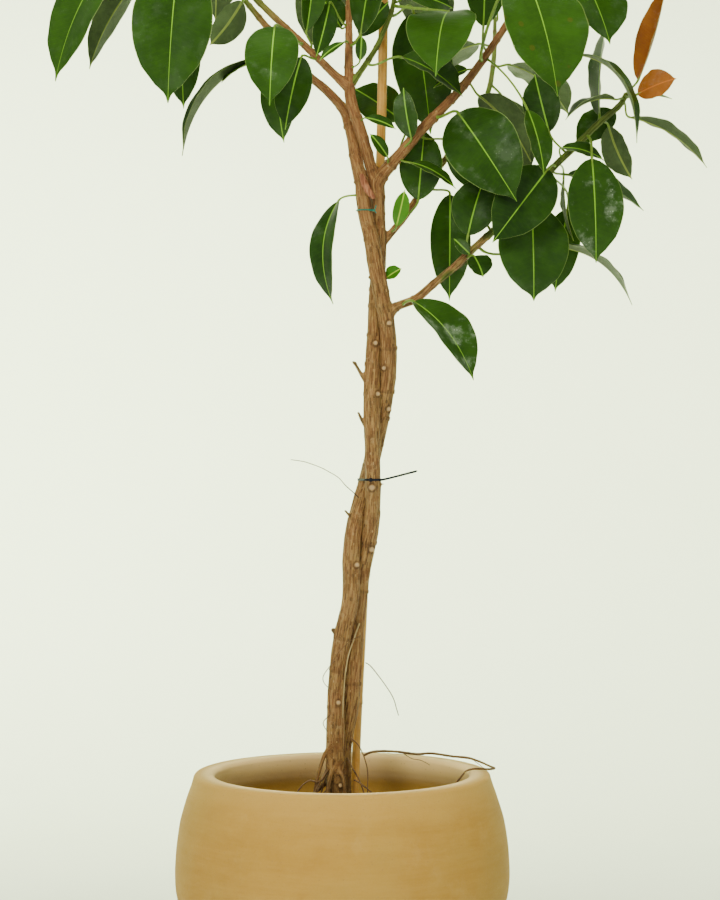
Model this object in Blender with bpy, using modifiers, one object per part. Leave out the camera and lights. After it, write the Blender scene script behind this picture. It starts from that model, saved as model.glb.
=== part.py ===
"""A rubber plant (Ficus elastica) about 1.8 m tall in a round clay pot.

Two stems twine round each other up a bamboo cane, fork into limbs, and carry large leathery leaves.
X runs to the right, Y to the back and Z up, and the origin is the centre of the pot's underside.
Driving sizes are in metres. The plant's routes and leaves are listed in centimetres, with heights
counted from the floor for a pot that is filled to ROUTE_SOIL_LEVEL, and the plant moves with its soil.
"""

import math

import bmesh
import bpy
from mathutils import Vector

CM = 0.01
GAP = 0.0003

# Pot
POT_HEIGHT = 0.3245
BELLY_RADIUS = 0.2255
POT_WALL = 0.020
POT_FLOOR = 0.022
LIP_WIDTH = 0.029
LIP_HEIGHT = 0.040
LIP_ROUNDING = 0.006
# The side from the foot to the lip: shares of the belly radius and of the pot's height.
POT_SIDE = [
    (0.672, 0.000),
    (0.772, 0.130),
    (0.872, 0.275),
    (0.948, 0.400),
    (0.992, 0.510),
    (1.000, 0.590),
    (0.993, 0.690),
    (0.967, 0.812),
    (0.911, 0.937),
    (0.889, 0.972),
]
POT_STEPS = 40
BORE_ROWS = 8
DRAIN_HOLE_RADIUS = 0.008
DRAIN_CIRCLE_RADIUS = 0.062
DRAIN_HOLES = 3

# Potting soil
HEADSPACE = 0.0645
SOIL_CROWN = 0.006
SOIL_TOP = POT_HEIGHT - HEADSPACE
ROUTE_SOIL_LEVEL = 0.260

# Bamboo cane, in centimetres: x, y, z, radius
CANE_ROUTE = [
    (0.7, 3.0, 7.0, 0.56),
    (1.65, 2.95, 29.0, 0.575),
    (2.1, 2.9, 40.0, 0.58),
    (2.95, 2.9, 57.5, 0.60),
    (4.1, 2.9, 88.0, 0.62),
    (5.2, 2.9, 116.0, 0.64),
    (5.6, 2.9, 137.0, 0.66),
    (5.75, 2.9, 150.0, 0.67),
]
CANE_NODES = (22.0, 41.5, 60.5, 79.5, 98.5, 117.3, 136.0)
CANE_NODE_RIDGE = 0.05
CANE_NODE_HALF_HEIGHT = 0.5
CANE_STEP = 9.0

# The twined stems, in centimetres and degrees: height, middle x, gap between the barks,
# direction from the front stem to the rear one (0 is +X, 90 is +Y), front and rear radius
TWINE = [
    (16.0, -0.3, 0.20, 72, 1.20, 0.95),
    (24.0, -0.3, 0.25, 70, 1.28, 1.00),
    (30.0, -0.35, 0.30, 70, 1.30, 1.00),
    (36.0, -0.3, 0.25, 60, 1.25, 1.00),
    (40.0, 0.05, 0.20, 39, 1.20, 1.03),
    (44.0, 0.3, 0.20, 20, 1.15, 1.05),
    (48.0, 0.65, 0.15, 27, 1.15, 1.05),
    (52.0, 1.1, 0.12, 48, 1.15, 1.05),
    (56.0, 1.75, 0.12, 58, 1.15, 1.05),
    (60.0, 2.0, 0.12, 47, 1.15, 1.05),
    (64.0, 2.5, 0.06, 14, 1.15, 1.07),
    (68.0, 3.15, 0.08, -35, 1.13, 1.06),
    (72.0, 3.75, 0.12, -70, 1.10, 1.05),
    (76.0, 4.2, 0.10, -96, 1.10, 1.05),
    (80.0, 4.6, 0.08, -124, 1.08, 1.05),
    (84.0, 4.95, 0.06, -152, 1.08, 1.05),
    (88.0, 5.18, 0.05, -176, 1.08, 1.02),
    (92.0, 5.25, 0.05, -212, 1.06, 1.00),
    (96.0, 5.0, 0.06, -245, 1.07, 1.00),
    (100.0, 4.74, 0.06, -273, 1.12, 1.00),
    (104.0, 4.5, 0.12, -298, 1.03, 0.98),
    (108.0, 3.98, 0.38, -322, 0.97, 0.93),
    (112.0, 3.72, 0.12, -342, 0.98, 1.00),
]
TWINE_STEP = 1.6
LIMB_STEP = 3.0
THIN_STEP = 1.5
STEM_SIDES_LEVEL = 2
CANE_SIDES_LEVEL = 4
THIN_SIDES_LEVEL = 1
HAIR_SIDES_LEVEL = 0

# Limbs, in centimetres: x, y, z, radius
FRONT_STEM_END = [
    (2.15, -0.2, 114.0, 0.90),
    (1.75, 0.35, 116.0, 0.84),
    (1.45, 0.8, 118.0, 0.82),
    (0.95, 1.15, 120.0, 0.76),
    (0.2, 1.4, 122.2, 0.68),
    (-2.0, 1.9, 124.8, 0.58),
    (-4.5, 2.5, 127.0, 0.54),
    (-6.8, 3.1, 129.6, 0.50),
    (-10.0, 4.2, 133.6, 0.45),
    (-13.5, 5.6, 138.0, 0.38),
]
REAR_STEM_END = [
    (5.5, 0.2, 113.4, 0.88),
    (6.6, 0.0, 114.6, 0.80),
    (8.0, -0.5, 116.1, 0.76),
    (10.0, -1.0, 118.4, 0.72),
    (12.0, -1.5, 120.4, 0.68),
    (14.0, -2.0, 122.4, 0.63),
    (16.0, -2.5, 124.5, 0.58),
    (18.0, -3.0, 127.0, 0.54),
    (20.0, -3.5, 129.8, 0.50),
    (21.7, -3.8, 132.4, 0.46),
    (23.0, -4.0, 134.6, 0.43),
]
LEFT_FORK = [
    (4.8, 0.33, 112.0, 0.78),
    (3.9, 0.1, 114.2, 0.78),
    (3.42, -0.3, 116.0, 0.76),
    (2.85, -0.5, 118.0, 0.75),
    (2.2, -0.5, 120.0, 0.74),
    (1.5, -0.4, 122.0, 0.73),
    (1.0, -0.3, 124.0, 0.72),
    (0.9, -0.2, 126.5, 0.62),
    (0.9, 0.2, 131.0, 0.52),
    (0.9, 0.8, 137.0, 0.44),
]
LEFT_LIMB = [
    (1.0, -0.3, 125.0, 0.55),
    (-1.0, -0.9, 126.6, 0.55),
    (-2.5, -1.3, 128.0, 0.50),
    (-6.0, -2.2, 131.2, 0.46),
    (-9.5, -3.0, 134.3, 0.42),
    (-12.3, -3.6, 137.0, 0.38),
]
THIN_TWIG = [
    (1.0, -0.2, 125.0, 0.40),
    (2.2, -0.5, 126.7, 0.38),
    (4.4, -0.9, 129.9, 0.35),
    (5.4, -1.0, 132.0, 0.33),
    (6.5, -1.2, 134.5, 0.31),
    (7.1, -1.3, 137.0, 0.30),
]
REAR_LIMB = [
    (5.0, 0.9, 103.8, 0.50),
    (6.5, 1.4, 105.4, 0.48),
    (8.5, 2.0, 107.8, 0.46),
    (10.6, 3.0, 111.0, 0.44),
    (13.6, 4.5, 115.2, 0.42),
    (16.2, 5.5, 118.8, 0.40),
    (18.7, 6.5, 122.3, 0.38),
]
LOW_LIMB = [
    (5.9, -0.8, 93.9, 0.62),
    (7.3, -1.0, 95.3, 0.58),
    (10.0, -1.5, 96.4, 0.55),
    (12.5, -2.0, 98.5, 0.52),
    (15.0, -2.2, 100.5, 0.50),
    (17.2, -2.5, 102.6, 0.50),
    (20.0, -2.8, 105.1, 0.48),
    (22.0, -3.0, 106.9, 0.47),
    (25.0, -3.2, 110.0, 0.46),
    (28.4, -3.5, 113.9, 0.44),
    (30.7, -3.7, 116.1, 0.42),
    (32.6, -3.9, 118.0, 0.41),
    (34.6, -4.0, 119.9, 0.40),
    (37.0, -4.2, 121.9, 0.38),
    (37.9, -4.3, 123.5, 0.34),
]
# Cut stubs and a thorn, each a straight peg from inside its stem: from, to, radii
FRONT_STEM_PEGS = [
    ((1.9, -0.3, 66.0), (0.35, -0.5, 67.9), 0.24, 0.17),
    ((0.0, -0.9, 49.9), (-1.3, -1.1, 51.9), 0.26, 0.20),
    ((4.6, -1.2, 98.4), (3.5, -1.6, 99.3), 0.20, 0.14),
]
REAR_STEM_PEGS = [
    ((3.4, -0.3, 84.9), (1.5, -0.5, 88.0), 0.24, 0.17),
    ((3.5, -1.1, 78.2), (2.15, -1.3, 81.1), 0.18, 0.13),
    ((4.3, -1.0, 71.2), (5.9, -1.2, 71.5), 0.18, 0.06),
]
# Roots that brace the front stem above the soil: route with radius
BRACE_ROOTS = [
    [
        (-1.0, -1.2, 36.8, 0.32),
        (-2.3, -1.9, 35.2, 0.3),
        (-3.4, -2.4, 31.6, 0.26),
        (-4.1, -2.7, 26.9, 0.22),
    ],
    [
        (-0.8, -1.3, 34.2, 0.34),
        (-1.6, -3.0, 32.2, 0.3),
        (-2.1, -3.8, 29.0, 0.26),
        (-2.4, -4.2, 26.9, 0.22),
    ],
    [
        (-0.7, -1.3, 33.4, 0.3),
        (0.1, -2.9, 32.0, 0.28),
        (0.5, -3.6, 29.2, 0.24),
        (0.7, -3.9, 26.9, 0.2),
    ],
    [
        (-1.2, -1.0, 32.0, 0.32),
        (-3.0, -0.8, 30.4, 0.28),
        (-4.6, -0.7, 28.8, 0.24),
        (-5.9, -0.6, 26.9, 0.2),
    ],
]

# Loose roots: x, y, z, radius
# The runner leaves the stem, crosses the rim and turns back into the pot. Over the rim its x counts from
# the lip's outer edge and its z from the rim's top. Inside, its x counts from the lip's inner edge.
RUNNER_OVER_SOIL = [
    (2.9, 0.6, 34.6, 0.17),
    (4.2, 0.1, 35.2, 0.17),
    (7.0, -0.4, 35.3, 0.17),
    (10.0, -0.7, 35.0, 0.17),
    (12.0, -0.8, 35.1, 0.16),
]
RUNNER_OVER_RIM = [
    (-5.05, -0.9, 2.25, 0.16),
    (-3.05, -0.9, 2.05, 0.16),
    (-1.55, -0.8, 1.55, 0.15),
    (-0.05, -0.5, 0.85, 0.15),
    (0.55, 0.1, 0.50, 0.15),
    (-0.15, 0.6, 0.30, 0.15),
    (-2.1, 0.8, 0.34, 0.14),
]
RUNNER_INSIDE_RIM = [(-0.35, 0.85, 0.02, 0.14), (-1.0, 0.9, -0.75, 0.14), (-2.55, 1.0, -2.8, 0.13)]
RUNNER_END = (-3.55, 1.1, 26.9, 0.12)
UPPER_AERIAL_ROOT = [
    (2.2, -1.3, 69.6, 0.07),
    (1.5, -1.8, 70.3, 0.07),
    (0.5, -2.0, 71.2, 0.07),
    (-0.5, -2.0, 72.3, 0.06),
    (-2.0, -1.9, 73.2, 0.06),
    (-3.0, -1.8, 73.7, 0.06),
    (-5.0, -1.6, 74.4, 0.06),
    (-6.9, -1.5, 74.7, 0.05),
]
LOWER_AERIAL_ROOT = [
    (3.15, 0.4, 47.2, 0.08),
    (3.7, 0.2, 46.9, 0.08),
    (4.5, 0.0, 46.0, 0.08),
    (6.0, -0.4, 44.0, 0.07),
    (6.9, -0.6, 42.5, 0.07),
    (7.3, -0.7, 41.2, 0.07),
    (7.6, -0.8, 40.2, 0.06),
]
# A root that clings to the front of the stems: x and z, with its depth worked out
CLINGING_ROOT = [(2.3, 52.6), (1.6, 50.6), (0.9, 48.6), (0.5, 46.4), (0.2, 43.5), (0.1, 40.0)]
CLINGING_ROOT_RADIUS = 0.11
CLINGING_ROOT_STEP = 0.8
CLINGING_ROOT_PROBES = [(across, up) for across in (-0.3, 0.0, 0.3) for up in (-0.8, 0.0, 0.8)]

# Ties
WIRE_TIE_HEIGHT = 108.3
WIRE_TIE_RADIUS = 0.09
CABLE_TIE_HEIGHT = 72.0
CABLE_TIE_WIDTH = 0.30
CABLE_TIE_THICKNESS = 0.13
CABLE_TIE_HEAD = (0.42, 0.32, 0.48)
CABLE_TIE_TAIL_END = (10.1, -2.6, 73.2)
# The tail's start and bend, counted from the band's right side, and the head's place from the band's front
CABLE_TIE_TAIL_START = (-0.1, 0.1, 0.0)
CABLE_TIE_TAIL_BEND = (0.8, -0.35, 0.1)
CABLE_TIE_HEAD_SHIFT = (-0.3, -0.1)
# The knot sits at these shares of the stem's radius, and its wire ends count from it: x, y, z, radius
WIRE_KNOT_SIDE, WIRE_KNOT_FRONT = 0.55, 0.84
WIRE_ENDS = [
    [(0.0, 0.0, 0.0, 0.08), (0.3, -0.3, 0.1, 0.13), (0.6, -0.5, -0.05, 0.12), (1.0, -0.7, -0.5, 0.06)],
    [(0.5, -0.45, 0.0, 0.08), (0.9, -0.4, 0.6, 0.06)],
]
TIE_CORNER_STEP = 20
TIE_EASE = 0.08

# Young green twigs at the ends of the limbs: limb, then x, y, z, radius beyond its end
SHOOTS = {
    "left_shoot": (
        "left_limb",
        [
            (-16.0, -4.3, 141.0, 0.36),
            (-20.0, -4.8, 146.4, 0.34),
            (-23.4, -5.0, 152.0, 0.3),
            (-25.2, -4.6, 158.5, 0.22),
        ],
    ),
    "top_shoot": (
        "left_fork",
        [
            (0.8, 1.5, 144.0, 0.42),
            (0.3, 2.2, 152.0, 0.38),
            (-0.2, 2.4, 160.0, 0.33),
            (-0.5, 2.2, 166.5, 0.24),
        ],
    ),
    "middle_shoot": (
        "thin_twig",
        [
            (8.6, -1.6, 143.0, 0.29),
            (10.6, -2.2, 150.0, 0.27),
            (12.0, -2.6, 157.5, 0.2),
        ],
    ),
    "right_shoot": (
        "rear_stem",
        [
            (25.0, -4.5, 139.4, 0.4),
            (26.8, -5.0, 146.0, 0.36),
            (28.4, -5.2, 154.0, 0.26),
        ],
    ),
    "rear_shoot": (
        "rear_limb",
        [
            (20.4, 8.4, 126.4, 0.36),
            (21.2, 10.6, 131.4, 0.33),
            (21.4, 12.4, 137.0, 0.24),
        ],
    ),
}

# Leaves, in centimetres: limb, height where the stalk leaves it, blade's base and tip, width,
# the way the upper face looks, how far the midrib bows towards that way (share of the length),
# how far the halves fold up (degrees)
LEAVES = [
    ("low_limb", 95.7, (9.5, -4.2, 95.8), (17.4, -6.8, 85.2), 7.0, (0.42, -0.68, 0.6), 0.12, 20),
    ("front_stem", 110.4, (-0.5, -1.6, 109.5), (-1.2, -3.2, 95.5), 4.6, (-0.7, -0.7, 0.12), 0.17, 14),
    ("rear_limb", 112.0, (14.7, 3.4, 111.0), (14.6, 3.0, 96.4), 5.8, (0.0, -0.93, 0.2), 0.04, 16),
    ("low_limb", 103.4, (28.0, 0.5, 103.6), (39.2, 0.0, 95.6), 7.0, (0.5, -0.2, 0.84), 0.16, 22),
    ("low_limb", 109.4, (25.2, -5.0, 108.8), (25.4, -6.2, 95.7), 9.6, (0.05, -0.95, 0.2), 0.05, 10),
    ("low_limb", 113.0, (31.0, 5.5, 109.2), (29.3, 5.8, 97.8), 5.4, (-0.2, -0.9, 0.2), 0.05, 12),
    ("low_limb", 113.9, (27.3, -6.2, 113.2), (19.7, -9.8, 103.1), 7.8, (0.35, -0.8, 0.5), 0.06, 12),
    ("low_limb", 118.0, (33.0, -7.0, 114.5), (33.3, -9.2, 100.5), 7.6, (0.1, -0.93, 0.25), 0.05, 8),
    ("low_limb", 113.4, (30.3, -1.0, 113.1), (40.8, 0.4, 108.4), 6.0, (0.3, -0.5, 0.8), 0.08, 14),
    ("low_limb", 120.0, (35.8, -1.8, 119.5), (39.1, -0.6, 112.5), 4.6, (-0.5, 0.75, 0.0), 0.06, 12),
    ("low_limb", 122.5, (38.5, -2.6, 120.6), (49.0, -2.0, 113.9), 4.4, (0.5, 0.1, 0.85), 0.10, 20),
    ("low_limb", 121.0, (37.0, 0.8, 121.9), (31.6, 1.2, 117.5), 5.0, (-0.2, -0.85, 0.45), 0.06, 12),
    ("low_limb", 102.6, (16.8, -3.9, 104.6), (19.2, -2.6, 112.7), 6.4, (-0.2, -0.95, 0.2), 0.10, 14),
    ("low_limb", 105.2, (19.2, 0.0, 111.0), (14.7, 1.6, 119.4), 5.4, (-0.3, -0.85, 0.4), 0.05, 12),
    ("rear_limb", 105.6, (7.3, -0.4, 106.2), (8.4, -1.4, 111.0), 2.3, (0.2, -0.9, 0.3), 0.06, 18),
    ("rear_limb", 107.4, (10.3, 1.0, 109.9), (11.2, 1.4, 119.8), 6.0, (-0.1, -0.98, 0.1), 0.03, 12),
    ("rear_stem", 116.8, (9.3, -1.9, 117.9), (8.2, -4.0, 124.3), 3.7, (-0.4, -0.85, 0.2), 0.06, 16),
    ("rear_stem", 116.3, (8.0, 5.0, 121.4), (1.5, 7.8, 126.2), 6.2, (-0.3, -0.8, 0.5), 0.06, 12),
    ("rear_stem", 121.0, (15.4, -5.2, 120.8), (22.8, -11.2, 108.3), 9.8, (-0.3, -0.8, 0.5), 0.08, 12),
    ("rear_stem", 125.4, (18.4, -0.8, 123.8), (25.4, -1.4, 114.8), 6.0, (0.35, 0.7, 0.55), 0.12, 12),
    ("rear_stem", 128.5, (24.5, -7.0, 120.9), (26.5, -8.8, 112.1), 4.0, (0.5, -0.8, 0.2), 0.06, 16),
    ("low_limb", 115.5, (27.7, -3.2, 118.5), (25.7, -4.0, 126.1), 5.2, (-0.3, -0.85, 0.3), 0.06, 14),
    ("low_limb", 122.7, (36.1, -6.2, 122.4), (29.4, -8.0, 119.4), 4.2, (-0.25, -0.1, 0.93), 0.14, 20),
    ("low_limb", 121.9, (38.7, -4.2, 123.3), (43.9, -4.8, 122.7), 2.6, (0.05, -0.25, 0.96), 0.05, 18),
    ("low_limb", 123.5, (39.4, -4.5, 125.2), (43.0, -5.6, 138.0), 4.6, (-0.6, -0.6, 0.4), -0.05, 50),
    ("low_limb", 123.1, (38.9, -8.0, 122.8), (43.7, -10.0, 124.5), 4.8, (-0.1, -0.8, 0.55), 0.05, 10),
    ("low_limb", 119.4, (34.6, -1.6, 121.0), (35.8, -0.6, 133.9), 6.0, (-0.92, -0.15, 0.3), 0.04, 14),
    ("right_shoot", 137.6, (31.3, -8.4, 127.9), (38.5, -10.4, 116.0), 4.2, (0.6, -0.35, 0.72), 0.20, 18),
    ("right_shoot", 146.0, (30.2, -7.4, 140.7), (35.0, -10.4, 128.9), 10.2, (0.45, -0.75, 0.45), 0.06, 10),
    ("rear_stem", 128.0, (23.6, -13.0, 137.6), (27.5, -17.6, 120.9), 11.4, (0.25, -0.85, 0.45), 0.08, 10),
    ("thin_twig", 128.2, (7.9, -2.8, 128.6), (16.1, -4.2, 123.1), 6.4, (0.2, -0.55, 0.8), 0.08, 22),
    ("thin_twig", 135.8, (14.2, -5.0, 134.2), (12.2, -12.2, 124.4), 9.4, (-0.1, -0.6, 0.8), 0.18, 10),
    ("thin_twig", 134.6, (9.8, 6.0, 136.4), (12.2, 7.6, 119.8), 8.8, (0.1, -0.93, 0.3), 0.06, 10),
    ("left_fork", 130.6, (2.5, -1.6, 131.9), (5.5, -7.0, 144.7), 6.6, (-0.3, -0.75, 0.55), 0.05, 12),
    ("left_fork", 133.4, (-1.7, -1.0, 136.2), (-3.5, -2.2, 128.7), 3.4, (0.3, -0.85, 0.3), 0.06, 16),
    ("left_limb", 129.8, (-4.8, -3.0, 132.0), (-3.5, -4.4, 145.3), 4.4, (0.55, -0.8, 0.1), 0.04, 24),
    ("left_limb", 128.8, (-5.4, -3.7, 128.5), (-7.5, -6.2, 118.4), 5.0, (-0.1, -0.93, 0.3), 0.08, 12),
    ("front_stem", 128.4, (-9.0, 3.2, 128.2), (-8.0, 3.8, 118.1), 4.8, (-0.3, -0.88, 0.3), 0.08, 12),
    ("left_limb", 130.6, (-8.8, -8.0, 131.7), (-9.3, -12.4, 120.6), 7.2, (0.0, -0.85, 0.5), 0.14, 10),
    ("left_limb", 132.4, (-11.4, -3.6, 128.2), (-21.3, -4.2, 115.2), 5.2, (-0.74, -0.22, 0.62), 0.14, 34),
    ("left_shoot", 138.6, (-21.4, -5.0, 133.6), (-20.9, -6.6, 121.1), 5.2, (-0.05, -0.93, 0.3), 0.05, 12),
    ("left_shoot", 143.0, (-21.1, -11.6, 139.6), (-22.2, -15.4, 120.4), 10.6, (-0.1, -0.93, 0.3), 0.06, 8),
    ("left_shoot", 150.0, (-29.6, -6.0, 142.0), (-37.6, -8.4, 124.4), 9.0, (-0.4, -0.75, 0.5), 0.10, 10),
]

# Leaves that are one piece with a young twig: the same columns
SHOOT_LEAVES = [
    ("left_shoot", 139.4, (-13.6, 1.6, 137.0), (-18.2, 3.6, 131.4), 4.4, (0.1, 0.9, -0.1), 0.12, 20),
    ("left_shoot", 148.6, (-26.0, 1.0, 141.6), (-34.4, 1.6, 127.8), 5.0, (-0.7, 0.55, 0.3), 0.10, 20),
    ("left_shoot", 153.0, (-27.0, -5.6, 152.6), (-39.0, -7.0, 146.0), 7.6, (-0.2, -0.3, 0.93), 0.10, 12),
    ("left_shoot", 151.6, (-23.8, 0.4, 151.0), (-29.0, 12.0, 142.6), 8.0, (-0.2, 0.5, 0.85), 0.12, 12),
    ("left_shoot", 152.4, (-21.0, -8.6, 151.6), (-15.4, -19.0, 145.0), 7.6, (0.1, -0.6, 0.8), 0.10, 12),
    ("left_shoot", 158.2, (-26.2, -4.6, 161.4), (-31.0, -3.6, 172.0), 6.4, (0.8, -0.3, 0.4), 0.05, 16),
    ("left_shoot", 156.0, (-22.0, -3.0, 158.4), (-13.0, 1.0, 163.6), 7.0, (0.0, -0.3, 0.93), 0.10, 12),
    ("left_shoot", 144.4, (-17.0, 0.0, 143.8), (-18.0, 13.0, 136.6), 8.0, (0.0, 0.5, 0.85), 0.12, 12),
    ("top_shoot", 146.0, (4.0, 5.6, 147.8), (13.6, 12.6, 142.0), 8.0, (0.3, 0.2, 0.9), 0.10, 12),
    ("top_shoot", 149.6, (-3.0, 3.4, 151.0), (-13.6, 8.0, 146.0), 8.0, (-0.3, 0.2, 0.9), 0.10, 12),
    ("top_shoot", 153.6, (0.6, 5.6, 154.6), (2.6, 18.4, 148.6), 8.4, (0.0, 0.4, 0.9), 0.12, 12),
    ("top_shoot", 157.0, (0.0, -1.0, 158.6), (-4.2, -13.6, 153.4), 8.0, (0.0, -0.4, 0.9), 0.12, 12),
    ("top_shoot", 161.4, (2.6, 2.0, 163.2), (12.2, -2.0, 168.0), 7.0, (-0.3, 0.0, 0.93), 0.10, 14),
    ("top_shoot", 163.6, (-2.8, 3.0, 166.0), (-9.4, 6.0, 175.0), 6.4, (0.6, -0.2, 0.7), 0.08, 16),
    ("top_shoot", 166.2, (-0.5, 2.1, 168.0), (0.2, 1.2, 179.0), 3.0, (0.3, -0.9, 0.0), 0.02, 60),
    ("top_shoot", 142.0, (-0.6, 6.2, 142.2), (-4.6, 17.2, 133.6), 8.0, (-0.1, 0.5, 0.85), 0.12, 12),
    ("middle_shoot", 146.0, (9.4, -5.6, 146.6), (9.8, -17.6, 140.0), 8.0, (0.0, -0.5, 0.85), 0.12, 12),
    ("middle_shoot", 151.6, (14.0, 0.0, 152.6), (21.0, 10.4, 147.6), 7.8, (0.2, 0.4, 0.88), 0.10, 12),
    ("middle_shoot", 154.6, (14.2, -5.8, 156.0), (19.0, -16.4, 151.8), 7.4, (0.2, -0.4, 0.88), 0.10, 12),
    ("middle_shoot", 157.2, (12.2, -2.8, 160.0), (13.6, -4.6, 172.6), 5.6, (-0.6, -0.7, 0.2), 0.05, 18),
    ("middle_shoot", 141.4, (10.2, 4.6, 141.0), (13.0, 17.4, 133.4), 8.0, (0.1, 0.5, 0.85), 0.12, 12),
    ("right_shoot", 150.0, (31.6, -4.4, 150.6), (43.4, -4.0, 145.4), 7.6, (0.3, 0.0, 0.93), 0.10, 12),
    ("right_shoot", 143.0, (27.2, 0.0, 143.4), (30.0, 12.6, 136.4), 8.0, (0.1, 0.5, 0.85), 0.12, 12),
    ("right_shoot", 151.4, (25.4, -8.4, 153.0), (19.6, -18.0, 156.0), 7.2, (0.0, -0.3, 0.93), 0.10, 14),
    ("right_shoot", 153.6, (29.2, -5.4, 156.6), (33.2, -7.0, 168.6), 6.2, (-0.7, -0.5, 0.4), 0.05, 16),
    ("right_shoot", 148.0, (31.4, -8.0, 146.8), (38.4, -12.6, 135.4), 6.4, (0.5, -0.5, 0.6), 0.10, 12),
    ("right_shoot", 141.0, (20.6, -2.6, 142.4), (13.6, -1.4, 152.6), 6.4, (0.3, -0.6, 0.7), 0.06, 12),
    ("rear_shoot", 130.0, (23.6, 13.0, 130.4), (32.6, 20.0, 124.4), 7.8, (0.3, 0.4, 0.85), 0.12, 12),
    ("rear_shoot", 133.0, (19.0, 14.4, 133.6), (10.6, 21.0, 128.0), 7.6, (-0.2, 0.4, 0.88), 0.12, 12),
    ("rear_shoot", 127.0, (22.4, 11.0, 125.4), (25.0, 18.0, 113.6), 7.4, (0.2, 0.8, 0.45), 0.10, 12),
    ("rear_shoot", 136.6, (21.8, 13.6, 139.4), (25.6, 17.0, 149.6), 6.0, (-0.4, -0.2, 0.8), 0.06, 16),
]
STALK_ROWS = 3
STALK_KNEE = 0.4
BLADE_ROWS = 6
SHOOT_BLADE_ROWS = 5
STALK_CLEARANCE = 0.05
STALK_WIDTH = 0.30
STALK_THICKNESS = 0.30
BLADE_THICKNESS = 0.10
LEAF_TIP_WIDTH = 0.12
LEAF_ROUNDNESS = 0.72
LEAF_FULLNESS_AT = 0.88

# The dry sheath that is left between the stems
SHEATH_ROUTE = [(2.6, -1.98, 113.1), (3.3, -1.98, 111.3), (4.35, -1.85, 109.8)]
SHEATH_WIDTH = 1.0

# Colour, roughness and metallic value of each kind of surface
SURFACES = {
    "clay": ((0.50, 0.33, 0.19), 0.75, 0.0),
    "soil": ((0.10, 0.07, 0.05), 0.95, 0.0),
    "bark": ((0.36, 0.26, 0.16), 0.70, 0.0),
    "bamboo": ((0.55, 0.36, 0.15), 0.45, 0.0),
    "green_wire": ((0.04, 0.16, 0.11), 0.45, 0.0),
    "black_tie": ((0.03, 0.03, 0.03), 0.45, 0.0),
    "root": ((0.40, 0.26, 0.15), 0.80, 0.0),
    "dry_sheath": ((0.30, 0.12, 0.06), 0.70, 0.0),
    "leaf": ((0.07, 0.15, 0.05), 0.35, 0.0),
    "young_leaf": ((0.16, 0.25, 0.06), 0.35, 0.0),
}


# Scene and materials


def clear_scene():
    for old in list(bpy.data.objects):
        bpy.data.objects.remove(old, do_unlink=True)


def new_collection(name, hidden=False):
    collection = bpy.data.collections.new(name)
    bpy.context.scene.collection.children.link(collection)
    collection.hide_render = hidden
    return collection


def surface_material(kind, name):
    color, roughness, metallic = SURFACES[kind]
    material = bpy.data.materials.new(name)
    material.use_nodes = True
    shader = material.node_tree.nodes["Principled BSDF"]
    shader.inputs["Base Color"].default_value = (*color, 1.0)
    shader.inputs["Roughness"].default_value = roughness
    shader.inputs["Metallic"].default_value = metallic
    material.diffuse_color = (*color, 1.0)
    return material


def place(obj, collection, kind=None):
    """Puts an object in a collection, with its own material, or as a helper that isn't rendered."""
    collection.objects.link(obj)
    if kind is None:
        obj.hide_render = True
        obj.display_type = "WIRE"
    else:
        obj.data.materials.append(surface_material(kind, obj.name))
    return obj


# Routes


def lifted(x, y, z):
    """Metres in the plant's frame, which moves up and down with the soil."""
    return Vector((x * CM, y * CM, z * CM + SOIL_TOP - ROUTE_SOIL_LEVEL))


def between(before, start, end, after, t):
    """The row a share t of the way from start to end on a Catmull-Rom curve."""
    return tuple(
        0.5 * (2 * b + (c - a) * t + (2 * a - 5 * b + 4 * c - d) * t**2 + (3 * b - a - 3 * c + d) * t**3)
        for a, b, c, d in zip(before, start, end, after)
    )


def smooth(rows, step):
    """Rows about a step apart, measured on their first three numbers, on a smooth curve through rows."""
    result = []
    for index in range(len(rows) - 1):
        before, after = rows[max(index - 1, 0)], rows[min(index + 2, len(rows) - 1)]
        start, end = rows[index], rows[index + 1]
        count = max(1, round(math.dist(start[:3], end[:3]) / step))
        result += [between(before, start, end, after, part / count) for part in range(count)]
    return result + [tuple(rows[-1])]


def twined_stems():
    """The two stems' routes over their twined length: rows of x, y, z and radius."""
    front, rear = [], []
    for height, middle, gap, angle, front_radius, rear_radius in smooth(TWINE, TWINE_STEP):
        half = (front_radius + rear_radius + gap) / 2
        across = half * math.cos(math.radians(angle))
        along = half * math.sin(math.radians(angle))
        front.append((middle - across, -along, height, front_radius))
        rear.append((middle + across, along, height, rear_radius))
    return front, rear


def cane_rows():
    """The cane's route with a low ridge at each of its nodes."""
    rows = []
    for x, y, z, radius in smooth(CANE_ROUTE, CANE_STEP):
        if all(abs(z - node) > 2 * CANE_NODE_HALF_HEIGHT for node in CANE_NODES):
            rows.append((x, y, z, radius))
    for node in CANE_NODES:
        x, y, radius = along_route(CANE_ROUTE, node)
        for offset, ridge in ((-CANE_NODE_HALF_HEIGHT, 0), (0, CANE_NODE_RIDGE), (CANE_NODE_HALF_HEIGHT, 0)):
            rows.append((x, y, node + offset, radius + ridge))
    return sorted(rows, key=lambda row: row[2])


def along_route(route, height):
    """x, y and radius of a rising route where it passes a height."""
    for start, end in zip(route, route[1:]):
        if start[2] <= height <= end[2]:
            share = (height - start[2]) / (end[2] - start[2])
            return [a + (b - a) * share for a, b in ((start[0], end[0]), (start[1], end[1]), (start[3], end[3]))]
    raise ValueError(f"the route doesn't pass {height} cm")


def heading(route, height):
    """The direction of a rising route where it passes a height."""
    for start, end in zip(route, route[1:]):
        if start[2] <= height <= end[2]:
            return (Vector(end[:3]) - Vector(start[:3])).normalized()
    raise ValueError(f"the route doesn't pass {height} cm")


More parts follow.
